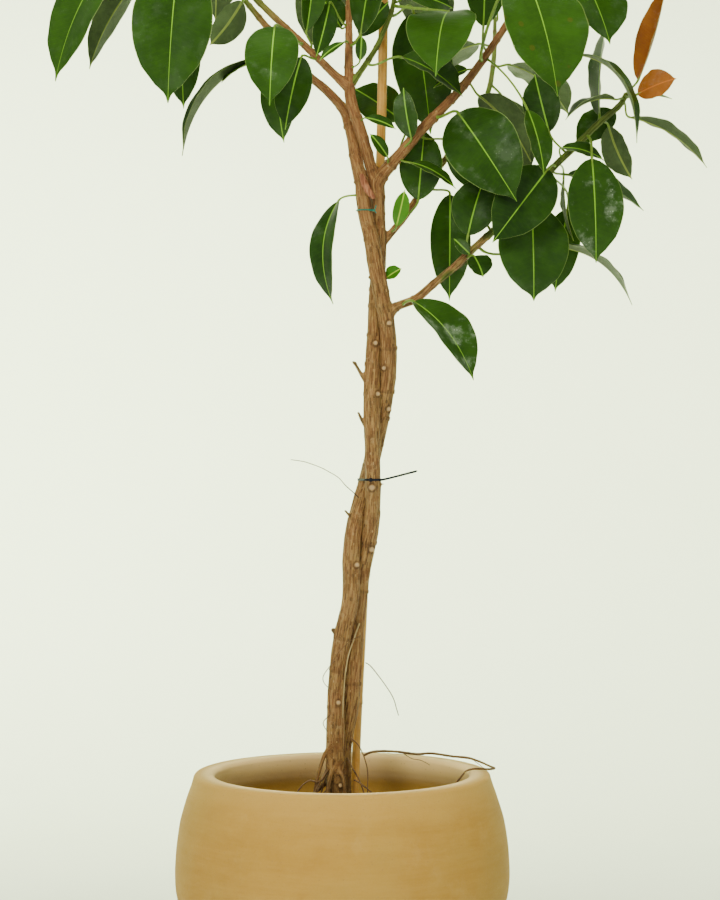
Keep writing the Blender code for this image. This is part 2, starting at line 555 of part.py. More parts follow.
def shoot_route(limb, rows):
    """A young twig's route: it starts a small gap beyond the end of its limb and first runs straight on."""
    end = Vector(limb[-1][:3])
    ahead = (end - Vector(limb[-2][:3])).normalized()
    radius = limb[-1][3]
    start = end + ahead * GAP / CM
    first = start + ahead
    return smooth([(*start, radius), (*first, radius), *rows], LIMB_STEP)


def all_routes():
    """Every stem, limb and twig that carries leaves, by name."""
    front, rear = twined_stems()
    routes = {
        "front_stem": front + smooth([front[-1], *FRONT_STEM_END], LIMB_STEP)[1:],
        "rear_stem": rear + smooth([rear[-1], *REAR_STEM_END], LIMB_STEP)[1:],
        "left_fork": smooth(LEFT_FORK, LIMB_STEP),
        "left_limb": smooth(LEFT_LIMB, LIMB_STEP),
        "thin_twig": smooth(THIN_TWIG, LIMB_STEP),
        "rear_limb": smooth(REAR_LIMB, LIMB_STEP),
        "low_limb": smooth(LOW_LIMB, LIMB_STEP),
    }
    for name, (limb, rows) in SHOOTS.items():
        routes[name] = shoot_route(routes[limb], rows)
    return routes


# Shapes


def tube(name, rows, collection, kind=None, sides_level=STEM_SIDES_LEVEL, extra_radius=0.0):
    """A round rod with closed ends along rows of x, y, z and radius, all in centimetres."""
    data = bpy.data.curves.new(name, "CURVE")
    data.dimensions = "3D"
    data.bevel_depth = CM
    data.bevel_resolution = sides_level
    data.use_fill_caps = True
    spline = data.splines.new("POLY")
    spline.points.add(len(rows) - 1)
    for point, (x, y, z, radius) in zip(spline.points, rows):
        point.co = (*lifted(x, y, z), 1.0)
        point.radius = radius + extra_radius
    spline.use_smooth = True
    return place(bpy.data.objects.new(name, data), collection, kind)


def as_mesh(obj, collection, kind=None):
    """The same shape as a mesh object, with its end caps welded; the first object is removed."""
    bpy.context.view_layer.update()
    evaluated = obj.evaluated_get(bpy.context.evaluated_depsgraph_get())
    mesh = bpy.data.meshes.new_from_object(evaluated)
    mesh.materials.clear()
    built = bmesh.new()
    built.from_mesh(mesh)
    bmesh.ops.remove_doubles(built, verts=built.verts, dist=1e-6)
    bmesh.ops.recalc_face_normals(built, faces=built.faces)
    built.to_mesh(mesh)
    built.free()
    name, matrix = obj.name, obj.matrix_world.copy()
    bpy.data.objects.remove(obj, do_unlink=True)
    solid = bpy.data.objects.new(name, mesh)
    solid.matrix_world = matrix
    mesh.shade_smooth()
    return place(solid, collection, kind)


def combine(obj, other, operation):
    modifier = obj.modifiers.new(f"{operation.title()} {other.name}", "BOOLEAN")
    modifier.operation = operation
    modifier.solver = "EXACT"
    modifier.object = other


def turned(name, profile, steps, collection, kind=None):
    """A solid turned about Z from a profile of (radius, height) that runs down its outer side."""
    built = bmesh.new()
    points = [built.verts.new((radius, 0.0, height)) for radius, height in profile]
    for start, end in zip(points, points[1:]):
        built.edges.new((start, end))
    mesh = bpy.data.meshes.new(name)
    built.to_mesh(mesh)
    built.free()
    obj = bpy.data.objects.new(name, mesh)
    screw = obj.modifiers.new("Turned", "SCREW")
    screw.axis = "Z"
    screw.steps = steps
    screw.render_steps = steps
    screw.use_merge_vertices = True
    screw.merge_threshold = GAP / 10
    screw.use_smooth_shade = True
    return place(obj, collection, kind)


# Pot and soil


def pot_side(height):
    """The pot's outer radius at a height."""
    rows = smooth(POT_SIDE, 0.04)
    share = height / POT_HEIGHT
    for start, end in zip(rows, rows[1:]):
        if start[1] <= share <= end[1]:
            inside = (share - start[1]) / (end[1] - start[1])
            return BELLY_RADIUS * (start[0] + (end[0] - start[0]) * inside)
    return BELLY_RADIUS * rows[-1][0]


def pot_bore(height):
    """The radius of the pot's hollow at a height: the wall's inner face, drawn in to the lip."""
    lip_radius = BELLY_RADIUS * POT_SIDE[-1][0] - LIP_WIDTH
    lip_start = POT_HEIGHT - LIP_HEIGHT - LIP_ROUNDING
    share = min(max((height - lip_start) / LIP_HEIGHT, 0.0), 1.0)
    ease = share * share * (3 - 2 * share)
    wall_radius = pot_side(height) - POT_WALL
    return wall_radius + (lip_radius - wall_radius) * ease


def bore_rows():
    """The hollow's side from the floor up to the lip's rounding, as (radius, height)."""
    lip_top = POT_HEIGHT - LIP_ROUNDING
    heights = [POT_FLOOR + (lip_top - POT_FLOOR) * row / BORE_ROWS for row in range(BORE_ROWS + 1)]
    return [(pot_bore(height), height) for height in heights]


def soil_side():
    """The soil's side from the floor up to its surface, a small gap inside the hollow."""
    rows = bore_rows()
    below = [(radius - GAP, height) for radius, height in rows if height < SOIL_TOP]
    for low, high in zip(rows, rows[1:]):
        if low[1] < SOIL_TOP <= high[1]:
            share = (SOIL_TOP - low[1]) / (high[1] - low[1])
            below.append((low[0] + (high[0] - low[0]) * share - GAP, SOIL_TOP))
    below[0] = (below[0][0], POT_FLOOR + GAP)
    return below


def pot_profile():
    lip_top = POT_HEIGHT - LIP_ROUNDING
    inside = [(0.0, POT_FLOOR)] + bore_rows()
    lip_outer = BELLY_RADIUS * POT_SIDE[-1][0]
    lip_inner = inside[-1][0]
    inner_arc = [
        (
            lip_inner + LIP_ROUNDING * (1 - math.cos(math.radians(angle))),
            lip_top + LIP_ROUNDING * math.sin(math.radians(angle)),
        )
        for angle in (30, 60, 90)
    ]
    outer_arc = [
        (
            lip_outer - LIP_ROUNDING * (1 - math.cos(math.radians(angle))),
            lip_top + LIP_ROUNDING * math.sin(math.radians(angle)),
        )
        for angle in (90, 60, 30, 0)
    ]
    outside = [(BELLY_RADIUS * share, POT_HEIGHT * height) for share, height in reversed(POT_SIDE[:-1])]
    return inside + inner_arc + outer_arc + outside + [(0.0, 0.0)]


def drill(name, radius, x, y, bottom, top, collection):
    """A round cutter that stands from bottom to top."""
    built = bmesh.new()
    bmesh.ops.create_cone(
        built, cap_ends=True, segments=20, radius1=radius, radius2=radius, depth=top - bottom
    )
    mesh = bpy.data.meshes.new(name)
    built.to_mesh(mesh)
    built.free()
    obj = bpy.data.objects.new(name, mesh)
    obj.location = (x, y, (top + bottom) / 2)
    return place(obj, collection)


def make_pot(parts, helpers):
    pot = turned("pot", pot_profile(), POT_STEPS, parts, "clay")
    for number in range(DRAIN_HOLES):
        angle = math.radians(90 + 180 / POT_STEPS + 360 * number / DRAIN_HOLES)
        hole = drill(
            f"drain_hole_cutter_{number + 1}",
            DRAIN_HOLE_RADIUS,
            DRAIN_CIRCLE_RADIUS * math.cos(angle),
            DRAIN_CIRCLE_RADIUS * math.sin(angle),
            -POT_FLOOR,
            2 * POT_FLOOR,
            helpers,
        )
        combine(pot, hole, "DIFFERENCE")


def make_soil(routes, parts, helpers):
    side = soil_side()
    crown = [(0.0, SOIL_TOP + SOIL_CROWN), (0.5 * side[-1][0], SOIL_TOP + 0.7 * SOIL_CROWN)]
    profile = crown + side[::-1] + [(0.0, side[0][1])]
    soil = turned("potting_soil", profile, POT_STEPS, parts, "soil")
    planted = {"front_stem": routes["front_stem"], "rear_stem": routes["rear_stem"], "cane": cane_rows()}
    for name, route in planted.items():
        x, y, z, radius = route[0]
        rows = [(x, y, z - 2 * GAP / CM, radius), *(row for row in route[1:] if row[2] < 40)]
        level = CANE_SIDES_LEVEL if name == "cane" else STEM_SIDES_LEVEL
        hole = tube(f"{name}_hole", rows, helpers, sides_level=level, extra_radius=2 * GAP / CM)
        combine(soil, as_mesh(hole, helpers), "DIFFERENCE")


# Stems, cane and roots


def make_stem(name, limbs, pegs, roots, routes, parts, helpers):
    """A stem as one solid with its limbs, cut stubs and brace roots."""
    stem = as_mesh(tube(name, routes[name], parts), parts, "bark")
    additions = []
    for limb in limbs:
        level = STEM_SIDES_LEVEL if limb in ("low_limb", "left_fork") else THIN_SIDES_LEVEL
        additions.append(tube(f"{name}_{limb}", routes[limb], helpers, sides_level=level))
    for number, (start, end, start_radius, end_radius) in enumerate(pegs, 1):
        rows = [(*start, start_radius), (*end, end_radius)]
        additions.append(tube(f"{name}_peg_{number}", rows, helpers, sides_level=THIN_SIDES_LEVEL))
    for number, root in enumerate(roots, 1):
        rows = smooth(root, THIN_STEP)
        additions.append(tube(f"{name}_root_{number}", rows, helpers, sides_level=THIN_SIDES_LEVEL))
    for addition in additions:
        combine(stem, as_mesh(addition, helpers), "UNION")


def runner_rows():
    """The runner root's route, which follows the rim where it crosses it."""
    lip_outer = BELLY_RADIUS * POT_SIDE[-1][0] / CM
    lip_inner = lip_outer - LIP_WIDTH / CM
    rim_top = (POT_HEIGHT - SOIL_TOP + ROUTE_SOIL_LEVEL) / CM
    over = [(lip_outer + x, y, rim_top + z, radius) for x, y, z, radius in RUNNER_OVER_RIM]
    inside = [(lip_inner + x, y, rim_top + z, radius) for x, y, z, radius in RUNNER_INSIDE_RIM]
    x, y, z, radius = RUNNER_END
    return [*RUNNER_OVER_SOIL, *over, *inside, (lip_inner + x, y, z, radius)]


def front_of_stems(routes, x, z):
    """The depth of the stems' front face at a place."""
    depths = []
    for name in ("front_stem", "rear_stem"):
        middle, depth, radius = along_route(routes[name], z)
        if abs(x - middle) < radius:
            depths.append(depth - math.sqrt(radius**2 - (x - middle) ** 2))
    return min(depths) if depths else 0.0


def clinging_rows(routes):
    clearance = CLINGING_ROOT_RADIUS + GAP / CM
    rows = []
    for x, z, _ in smooth([(x, z, 0.0) for x, z in CLINGING_ROOT], CLINGING_ROOT_STEP):
        near = [front_of_stems(routes, x + across, z + up) for across, up in CLINGING_ROOT_PROBES]
        rows.append((x, min(near) - clearance, z, CLINGING_ROOT_RADIUS))
    return rows


# Ties


def hull(points):
    """The convex outline round flat points, counterclockwise."""
    points = sorted(points)

    def half(run):
        line = []
        for x, y in run:
            while len(line) > 1 and cross(line[-2], line[-1], (x, y)) <= 0:
                line.pop()
            line.append((x, y))
        return line[:-1]

    return half(points) + half(points[::-1])


def cross(origin, one, two):
    return (one[0] - origin[0]) * (two[1] - origin[1]) - (one[1] - origin[1]) * (two[0] - origin[0])


def loop_round(circles, clearance):
    """The outline of a tight loop round circles of x, y and radius."""
    angles = [math.radians(step) for step in range(0, 360, TIE_CORNER_STEP)]
    reach = clearance / math.cos(math.radians(TIE_CORNER_STEP / 2))
    return hull(
        [
            (x + (radius + reach) * math.cos(angle), y + (radius + reach) * math.sin(angle))
            for x, y, radius in circles
            for angle in angles
        ]
    )


def closed_curve(name, outline, height, collection):
    data = bpy.data.curves.new(name, "CURVE")
    data.dimensions = "3D"
    spline = data.splines.new("POLY")
    spline.points.add(len(outline) - 1)
    for point, (x, y) in zip(spline.points, outline):
        point.co = (*lifted(x, y, height), 1.0)
    spline.use_cyclic_u = True
    return place(bpy.data.objects.new(name, data), collection)


def make_wire_tie(routes, parts, helpers):
    height = WIRE_TIE_HEIGHT
    x, y, radius = along_route(routes["front_stem"], height)
    outline = loop_round([(x, y, radius + TIE_EASE / 2)], WIRE_TIE_RADIUS + GAP / CM)
    ring = closed_curve("green_wire_tie", outline, height, helpers)
    ring.data.bevel_depth = WIRE_TIE_RADIUS * CM
    ring.data.bevel_resolution = 1
    tie = as_mesh(ring, parts, "green_wire")
    knot = (x + radius * WIRE_KNOT_SIDE, y - radius * WIRE_KNOT_FRONT - WIRE_TIE_RADIUS, height)
    for number, end in enumerate(WIRE_ENDS, 1):
        rows = [(*(a + b for a, b in zip(knot, row)), row[3]) for row in end]
        wire = tube(f"green_wire_end_{number}", rows, helpers, sides_level=THIN_SIDES_LEVEL)
        combine(tie, as_mesh(wire, helpers), "UNION")


def make_cable_tie(routes, parts, helpers):
    height = CABLE_TIE_HEIGHT
    held = [along_route(route, height) for route in (routes["front_stem"], routes["rear_stem"], CANE_ROUTE)]
    circles = [(x, y, radius + TIE_EASE) for x, y, radius in held]
    outline = loop_round(circles, CABLE_TIE_THICKNESS / 2 + GAP / CM)
    band = closed_curve("black_cable_tie", outline, height, helpers)
    band.data.extrude = CABLE_TIE_WIDTH / 2 * CM
    shell = band.modifiers.new("Band thickness", "SOLIDIFY")
    shell.thickness = CABLE_TIE_THICKNESS * CM
    shell.offset = 0.0
    tie = as_mesh(band, parts, "black_tie")
    front = min(outline, key=lambda point: point[1])
    combine(tie, cable_tie_head(front, height, helpers), "UNION")
    combine(tie, cable_tie_tail(outline, height, helpers), "UNION")


def cable_tie_head(front, height, helpers):
    built = bmesh.new()
    bmesh.ops.create_cube(built, size=1.0)
    bmesh.ops.scale(built, vec=[size * CM for size in CABLE_TIE_HEAD], verts=built.verts)
    mesh = bpy.data.meshes.new("cable_tie_head")
    built.to_mesh(mesh)
    built.free()
    head = bpy.data.objects.new("cable_tie_head", mesh)
    across, forward = CABLE_TIE_HEAD_SHIFT
    head.location = lifted(front[0] + across, front[1] + forward, height)
    return place(head, helpers)


def cable_tie_tail(outline, height, helpers):
    """The strap's free end: it leaves the band at the right and stands off straight."""
    right = (*max(outline, key=lambda point: point[0] - point[1]), height)
    rows = [[a + b for a, b in zip(right, shift)] for shift in (CABLE_TIE_TAIL_START, CABLE_TIE_TAIL_BEND)]
    rows.append(CABLE_TIE_TAIL_END)
    data = bpy.data.curves.new("cable_tie_tail", "CURVE")
    data.dimensions = "3D"
    spline = data.splines.new("POLY")
    spline.points.add(len(rows) - 1)
    for point, row in zip(spline.points, rows):
        point.co = (*lifted(*row), 1.0)
    data.extrude = CABLE_TIE_WIDTH / 2 * CM
    tail = place(bpy.data.objects.new("cable_tie_tail", data), helpers)
    shell = tail.modifiers.new("Strap thickness", "SOLIDIFY")
    shell.thickness = CABLE_TIE_THICKNESS * CM
    shell.offset = 0.0
    return as_mesh(tail, helpers)


# Leaves


def stalk_start(route, height, base, sunk):
    """Where a leaf's stalk begins on its stem, and which way it first points."""
    if height >= route[-1][2]:
        end = Vector(route[-1][:3])
        ahead = (end - Vector(route[-2][:3])).normalized()
        return end + ahead * STALK_CLEARANCE, ahead
    x, y, radius = along_route(route, height)
    middle = Vector((x, y, height))
    ahead = heading(route, height)
    out = Vector(base) - middle
    out = (out - out.dot(ahead) * ahead).normalized()
    reach = 0.0 if sunk else radius + STALK_CLEARANCE
    return middle + out * reach, out


def leaf_path(start, out, base, tip, faces, bow, blade_rows):
    """The middle line of a leaf, from its stalk's start to its tip, in centimetres."""
    base, tip, faces = Vector(base), Vector(tip), Vector(faces).normalized()
    length = (tip - base).length
    bend = (base + tip) / 2 + faces * bow * length * 2
    ahead = (bend - base).normalized()
    knee = start + out * STALK_KNEE
    reach = (base - knee).length / 3
    stalk = [start]
    for row in range(STALK_ROWS - 1):
        t = row / (STALK_ROWS - 1)
        stalk.append(
            knee * (1 - t) ** 3
            + (knee + out * reach) * 3 * t * (1 - t) ** 2
            + (base - ahead * reach) * 3 * t**2 * (1 - t)
            + base * t**3
        )
    blade = []
    for row in range(blade_rows + 1):
        t = row / blade_rows
        blade.append(base * (1 - t) ** 2 + bend * 2 * t * (1 - t) + tip * t**2)
    return stalk + blade


def carried_frames(path, middle, faces, first=None):
    """The forward and sideways directions along a path, the sideways one carried on from its middle."""
    count = len(path)
    ahead = [(path[min(i + 1, count - 1)] - path[max(i - 1, 0)]).normalized() for i in range(count)]
    ahead[0] = first or ahead[0]
    side = [None] * count
    side[middle] = ahead[middle].cross(Vector(faces)).normalized()
    for i in list(range(middle + 1, count)) + list(range(middle - 1, -1, -1)):
        last = side[i - 1] if i > middle else side[i + 1]
        side[i] = (last - last.dot(ahead[i]) * ahead[i]).normalized()
    return ahead, side


def blade_half_width(share, width):
    """Half the blade's width at a share of its length: oval, with a drawn-out tip."""
    round_part = math.sin(math.pi * min(share, 1.0) ** LEAF_FULLNESS_AT) ** LEAF_ROUNDNESS
    drip = 1.0 - 0.45 * max(share - 0.78, 0.0) / 0.22
    return max(width / 2 * round_part * drip, LEAF_TIP_WIDTH / 2)


def make_leaf(name, leaf, routes, collection, kind=None, blade_rows=BLADE_ROWS):
    """A leaf as a folded strip with thickness: a stalk that widens into an oval blade."""
    limb, height, base, tip, width, faces, bow, fold = leaf
    start, out = stalk_start(routes[limb], height, base, sunk=kind is None)
    path = leaf_path(start, out, base, tip, faces, bow, blade_rows)
    ahead, side = carried_frames(path, STALK_ROWS + blade_rows // 2, faces, out)
    rows = len(path) - 1
    built = bmesh.new()
    bmesh.ops.create_grid(built, x_segments=2, y_segments=rows, size=1.0)
    stalk_points = []
    for vert in built.verts:
        across = round(vert.co.x)
        row = round((vert.co.y + 1) / 2 * rows)
        share = max(row - STALK_ROWS, 0) / blade_rows
        half, lift = STALK_WIDTH / 2, 0.0
        if row > STALK_ROWS:
            half = blade_half_width(share, width)
            lift = math.radians(fold)
        else:
            stalk_points.append(vert.index)
        up = side[row].cross(ahead[row])
        point = path[row] + side[row] * across * half * math.cos(lift) + up * abs(across) * half * math.sin(lift)
        vert.co = lifted(*point)
    mesh = bpy.data.meshes.new(name)
    built.to_mesh(mesh)
    built.free()
    leaf_object = bpy.data.objects.new(name, mesh)
    thick = leaf_object.vertex_groups.new(name="stalk")
    thick.add(stalk_points, 1.0, "REPLACE")
    shell = leaf_object.modifiers.new("Leaf thickness", "SOLIDIFY")
    shell.thickness = STALK_THICKNESS * CM
    shell.offset = 0.0
    shell.vertex_group = "stalk"
    shell.thickness_vertex_group = BLADE_THICKNESS / STALK_THICKNESS
    mesh.shade_smooth()
    return place(leaf_object, collection, kind)


def make_shoot(name, routes, parts, helpers):
    """A young twig and its leaves as one solid."""
    shoot = as_mesh(tube(name, routes[name], parts, sides_level=THIN_SIDES_LEVEL), parts, "young_leaf")
    leaves = [leaf for leaf in SHOOT_LEAVES if leaf[0] == name]
    for number, leaf in enumerate(leaves, 1):
        blade = make_leaf(f"{name}_leaf_{number}", leaf, routes, helpers, blade_rows=SHOOT_BLADE_ROWS)
        combine(shoot, blade, "UNION")


def make_sheath(parts):
    """A dry, curled strip."""
    rows = smooth(SHEATH_ROUTE, 1.0)
    path = [Vector(row) for row in rows]
    ahead, side = carried_frames(path, len(path) // 2, (0.2, -1.0, 0.1))
    built = bmesh.new()
    bmesh.ops.create_grid(built, x_segments=2, y_segments=len(path) - 1, size=1.0)
    for vert in built.verts:
        row = round((vert.co.y + 1) / 2 * (len(path) - 1))
        half = SHEATH_WIDTH / 2 * math.sin(math.pi * (0.15 + 0.7 * row / (len(path) - 1)))
        curl = (side[row].cross(ahead[row])) * -0.5 * half * abs(vert.co.x)
        vert.co = lifted(*(path[row] + side[row] * vert.co.x * half + curl))
    mesh = bpy.data.meshes.new("dry_leaf_sheath")
    built.to_mesh(mesh)
    built.free()
    sheath = bpy.data.objects.new("dry_leaf_sheath", mesh)
    shell = sheath.modifiers.new("Sheath thickness", "SOLIDIFY")
    shell.thickness = BLADE_THICKNESS * CM
    shell.offset = 0.0
    place(sheath, parts, "dry_sheath")


def main():
    clear_scene()
    parts = new_collection("potted_rubber_plant")
    helpers = new_collection("cutters_and_operands", hidden=True)
    routes = all_routes()
    make_pot(parts, helpers)
    make_soil(routes, parts, helpers)
    make_stem("front_stem", ["low_limb"], FRONT_STEM_PEGS, BRACE_ROOTS, routes, parts, helpers)
    make_stem(
        "rear_stem", ["left_fork", "left_limb", "thin_twig", "rear_limb"], REAR_STEM_PEGS, [], routes, parts, helpers
    )
    tube("bamboo_cane", cane_rows(), parts, "bamboo", sides_level=CANE_SIDES_LEVEL)
    make_wire_tie(routes, parts, helpers)
    make_cable_tie(routes, parts, helpers)
    tube("runner_root", smooth(runner_rows(), THIN_STEP), parts, "root", sides_level=THIN_SIDES_LEVEL)
    tube("clinging_root", clinging_rows(routes), parts, "root", sides_level=THIN_SIDES_LEVEL)
    tube("aerial_root_upper", smooth(UPPER_AERIAL_ROOT, THIN_STEP), parts, "root", sides_level=HAIR_SIDES_LEVEL)
    tube("aerial_root_lower", smooth(LOWER_AERIAL_ROOT, THIN_STEP), parts, "root", sides_level=HAIR_SIDES_LEVEL)
    make_sheath(parts)
    for number, leaf in enumerate(LEAVES, 1):
        make_leaf(f"leaf_{number:02d}", leaf, routes, parts, "leaf")
    for name in SHOOTS:
        make_shoot(name, routes, parts, helpers)


main()
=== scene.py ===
"""The detailed look of a tall potted rubber plant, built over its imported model.

Each group of pieces has its own operator, and the panel in the 3D view's sidebar runs them one by one.
Lengths are in metres. The plant's routes and leaves are listed in centimetres, with heights counted from
the floor for a pot filled to ROUTE_SOIL_LEVEL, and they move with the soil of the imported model.
"""

import math
import random

import bmesh
import bpy
from mathutils import Matrix, Vector, kdtree, noise


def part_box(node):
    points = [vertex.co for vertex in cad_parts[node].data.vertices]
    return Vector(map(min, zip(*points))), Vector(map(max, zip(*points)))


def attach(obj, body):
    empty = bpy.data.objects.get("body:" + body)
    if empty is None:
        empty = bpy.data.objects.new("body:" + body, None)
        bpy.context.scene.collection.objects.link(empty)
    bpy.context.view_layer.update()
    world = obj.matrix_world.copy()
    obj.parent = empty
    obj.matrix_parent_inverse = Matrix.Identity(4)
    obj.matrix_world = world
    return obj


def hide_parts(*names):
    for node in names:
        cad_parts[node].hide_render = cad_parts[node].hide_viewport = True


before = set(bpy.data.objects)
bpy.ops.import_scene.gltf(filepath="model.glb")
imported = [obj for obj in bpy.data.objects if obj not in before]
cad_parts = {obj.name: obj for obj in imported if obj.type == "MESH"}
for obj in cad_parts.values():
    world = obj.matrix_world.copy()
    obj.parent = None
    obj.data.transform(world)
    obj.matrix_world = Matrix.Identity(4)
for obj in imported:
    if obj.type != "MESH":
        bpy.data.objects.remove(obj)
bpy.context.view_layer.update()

bl_info = {
    "name": "Potted rubber plant",
    "version": (1, 0, 0),
    "blender": (4, 5, 0),
    "location": "3D View > Sidebar > Plant",
    "description": "Builds a tall rubber plant in a clay pot",
    "category": "Object",
}

CM = 0.01
POT_LOW, POT_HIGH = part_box("pot")
SOIL_LOW, SOIL_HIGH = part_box("potting_soil")
BELLY_RADIUS = POT_HIGH.x
POT_HEIGHT = POT_HIGH.z
SOIL_CROWN = 0.006
SOIL_TOP = SOIL_HIGH.z - SOIL_CROWN
ROUTE_SOIL_LEVEL = 0.260
GAP = 0.0003

# Pot
POT_WALL = 0.020
POT_FLOOR = 0.022
LIP_WIDTH = 0.029
LIP_HEIGHT = 0.040
LIP_ROUNDING = 0.006
# The side from the foot to the lip: shares of the belly radius and of the pot's height.
POT_SIDE = [
    (0.672, 0.000),
    (0.772, 0.130),
    (0.872, 0.275),
    (0.948, 0.400),
    (0.992, 0.510),
    (1.000, 0.590),
    (0.993, 0.690),
    (0.967, 0.812),
    (0.911, 0.937),
    (0.889, 0.972),
]
POT_STEPS = 40
DRAIN_HOLE_RADIUS = 0.008
DRAIN_CIRCLE_RADIUS = 0.062
DRAIN_HOLES = 3

# Bamboo cane, in centimetres: x, y, z, radius
CANE_ROUTE = [
    (0.7, 3.0, 7.0, 0.56),
    (1.65, 2.95, 29.0, 0.575),
    (2.1, 2.9, 40.0, 0.58),
    (2.95, 2.9, 57.5, 0.60),
    (4.1, 2.9, 88.0, 0.62),
    (5.2, 2.9, 116.0, 0.64),
    (5.6, 2.9, 137.0, 0.66),
    (5.75, 2.9, 150.0, 0.67),
]
CANE_NODES = (22.0, 41.5, 60.5, 79.5, 98.5, 117.3, 136.0)

# The twined stems, in centimetres and degrees: height, middle x, gap between the barks,
# direction from the front stem to the rear one (0 is +X, 90 is +Y), front and rear radius
TWINE = [
    (16.0, -0.3, 0.20, 72, 1.20, 0.95),
    (24.0, -0.3, 0.25, 70, 1.28, 1.00),
    (30.0, -0.35, 0.30, 70, 1.30, 1.00),
    (36.0, -0.3, 0.25, 60, 1.25, 1.00),
    (40.0, 0.05, 0.20, 39, 1.20, 1.03),
    (44.0, 0.3, 0.20, 20, 1.15, 1.05),
    (48.0, 0.65, 0.15, 27, 1.15, 1.05),
    (52.0, 1.1, 0.12, 48, 1.15, 1.05),
    (56.0, 1.75, 0.12, 58, 1.15, 1.05),
    (60.0, 2.0, 0.12, 47, 1.15, 1.05),
    (64.0, 2.5, 0.06, 14, 1.15, 1.07),
    (68.0, 3.15, 0.08, -35, 1.13, 1.06),
    (72.0, 3.75, 0.12, -70, 1.10, 1.05),
    (76.0, 4.2, 0.10, -96, 1.10, 1.05),
    (80.0, 4.6, 0.08, -124, 1.08, 1.05),
    (84.0, 4.95, 0.06, -152, 1.08, 1.05),
    (88.0, 5.18, 0.05, -176, 1.08, 1.02),
    (92.0, 5.25, 0.05, -212, 1.06, 1.00),
    (96.0, 5.0, 0.06, -245, 1.07, 1.00),
    (100.0, 4.74, 0.06, -273, 1.12, 1.00),
    (104.0, 4.5, 0.12, -298, 1.03, 0.98),
    (108.0, 3.98, 0.38, -322, 0.97, 0.93),
    (112.0, 3.72, 0.12, -342, 0.98, 1.00),
]
TWINE_STEP = 1.6
LIMB_STEP = 3.0

# Limbs, in centimetres: x, y, z, radius
FRONT_STEM_END = [
    (2.15, -0.2, 114.0, 0.90),
    (1.75, 0.35, 116.0, 0.84),
    (1.45, 0.8, 118.0, 0.82),
    (0.95, 1.15, 120.0, 0.76),
    (0.2, 1.4, 122.2, 0.68),
    (-2.0, 1.9, 124.8, 0.58),
    (-4.5, 2.5, 127.0, 0.54),
    (-6.8, 3.1, 129.6, 0.50),
    (-10.0, 4.2, 133.6, 0.45),
    (-13.5, 5.6, 138.0, 0.38),
]
REAR_STEM_END = [
    (5.5, 0.2, 113.4, 0.88),
    (6.6, 0.0, 114.6, 0.80),
    (8.0, -0.5, 116.1, 0.76),
    (10.0, -1.0, 118.4, 0.72),
    (12.0, -1.5, 120.4, 0.68),
    (14.0, -2.0, 122.4, 0.63),
    (16.0, -2.5, 124.5, 0.58),
    (18.0, -3.0, 127.0, 0.54),
    (20.0, -3.5, 129.8, 0.50),
    (21.7, -3.8, 132.4, 0.46),
    (23.0, -4.0, 134.6, 0.43),
]
LEFT_FORK = [
    (4.8, 0.33, 112.0, 0.78),
    (3.9, 0.1, 114.2, 0.78),
    (3.42, -0.3, 116.0, 0.76),
    (2.85, -0.5, 118.0, 0.75),
    (2.2, -0.5, 120.0, 0.74),
    (1.5, -0.4, 122.0, 0.73),
    (1.0, -0.3, 124.0, 0.72),
    (0.9, -0.2, 126.5, 0.62),
    (0.9, 0.2, 131.0, 0.52),
    (0.9, 0.8, 137.0, 0.44),
]
LEFT_LIMB = [
    (1.0, -0.3, 125.0, 0.55),
    (-1.0, -0.9, 126.6, 0.55),
    (-2.5, -1.3, 128.0, 0.50),
    (-6.0, -2.2, 131.2, 0.46),
    (-9.5, -3.0, 134.3, 0.42),
    (-12.3, -3.6, 137.0, 0.38),
]
THIN_TWIG = [
    (1.0, -0.2, 125.0, 0.40),
    (2.2, -0.5, 126.7, 0.38),
    (4.4, -0.9, 129.9, 0.35),
    (5.4, -1.0, 132.0, 0.33),
    (6.5, -1.2, 134.5, 0.31),
    (7.1, -1.3, 137.0, 0.30),
]
REAR_LIMB = [
    (5.0, 0.9, 103.8, 0.50),
    (6.5, 1.4, 105.4, 0.48),
    (8.5, 2.0, 107.8, 0.46),
    (10.6, 3.0, 111.0, 0.44),
    (13.6, 4.5, 115.2, 0.42),
    (16.2, 5.5, 118.8, 0.40),
    (18.7, 6.5, 122.3, 0.38),
]
LOW_LIMB = [
    (5.9, -0.8, 93.9, 0.62),
    (7.3, -1.0, 95.3, 0.58),
    (10.0, -1.5, 96.4, 0.55),
    (12.5, -2.0, 98.5, 0.52),
    (15.0, -2.2, 100.5, 0.50),
    (17.2, -2.5, 102.6, 0.50),
    (20.0, -2.8, 105.1, 0.48),
    (22.0, -3.0, 106.9, 0.47),
    (25.0, -3.2, 110.0, 0.46),
    (28.4, -3.5, 113.9, 0.44),
    (30.7, -3.7, 116.1, 0.42),
    (32.6, -3.9, 118.0, 0.41),
    (34.6, -4.0, 119.9, 0.40),
    (37.0, -4.2, 121.9, 0.38),
    (37.9, -4.3, 123.5, 0.34),
]
# Cut stubs and a thorn, each a straight peg from inside its stem: from, to, radii
FRONT_STEM_PEGS = [
    ((1.9, -0.3, 66.0), (0.35, -0.5, 67.9), 0.24, 0.17),
    ((0.0, -0.9, 49.9), (-1.3, -1.1, 51.9), 0.26, 0.20),
    ((4.6, -1.2, 98.4), (3.5, -1.6, 99.3), 0.20, 0.14),
]
REAR_STEM_PEGS = [
    ((3.4, -0.3, 84.9), (1.5, -0.5, 88.0), 0.24, 0.17),
    ((3.5, -1.1, 78.2), (2.15, -1.3, 81.1), 0.18, 0.13),
    ((4.3, -1.0, 71.2), (5.9, -1.2, 71.5), 0.18, 0.06),
]
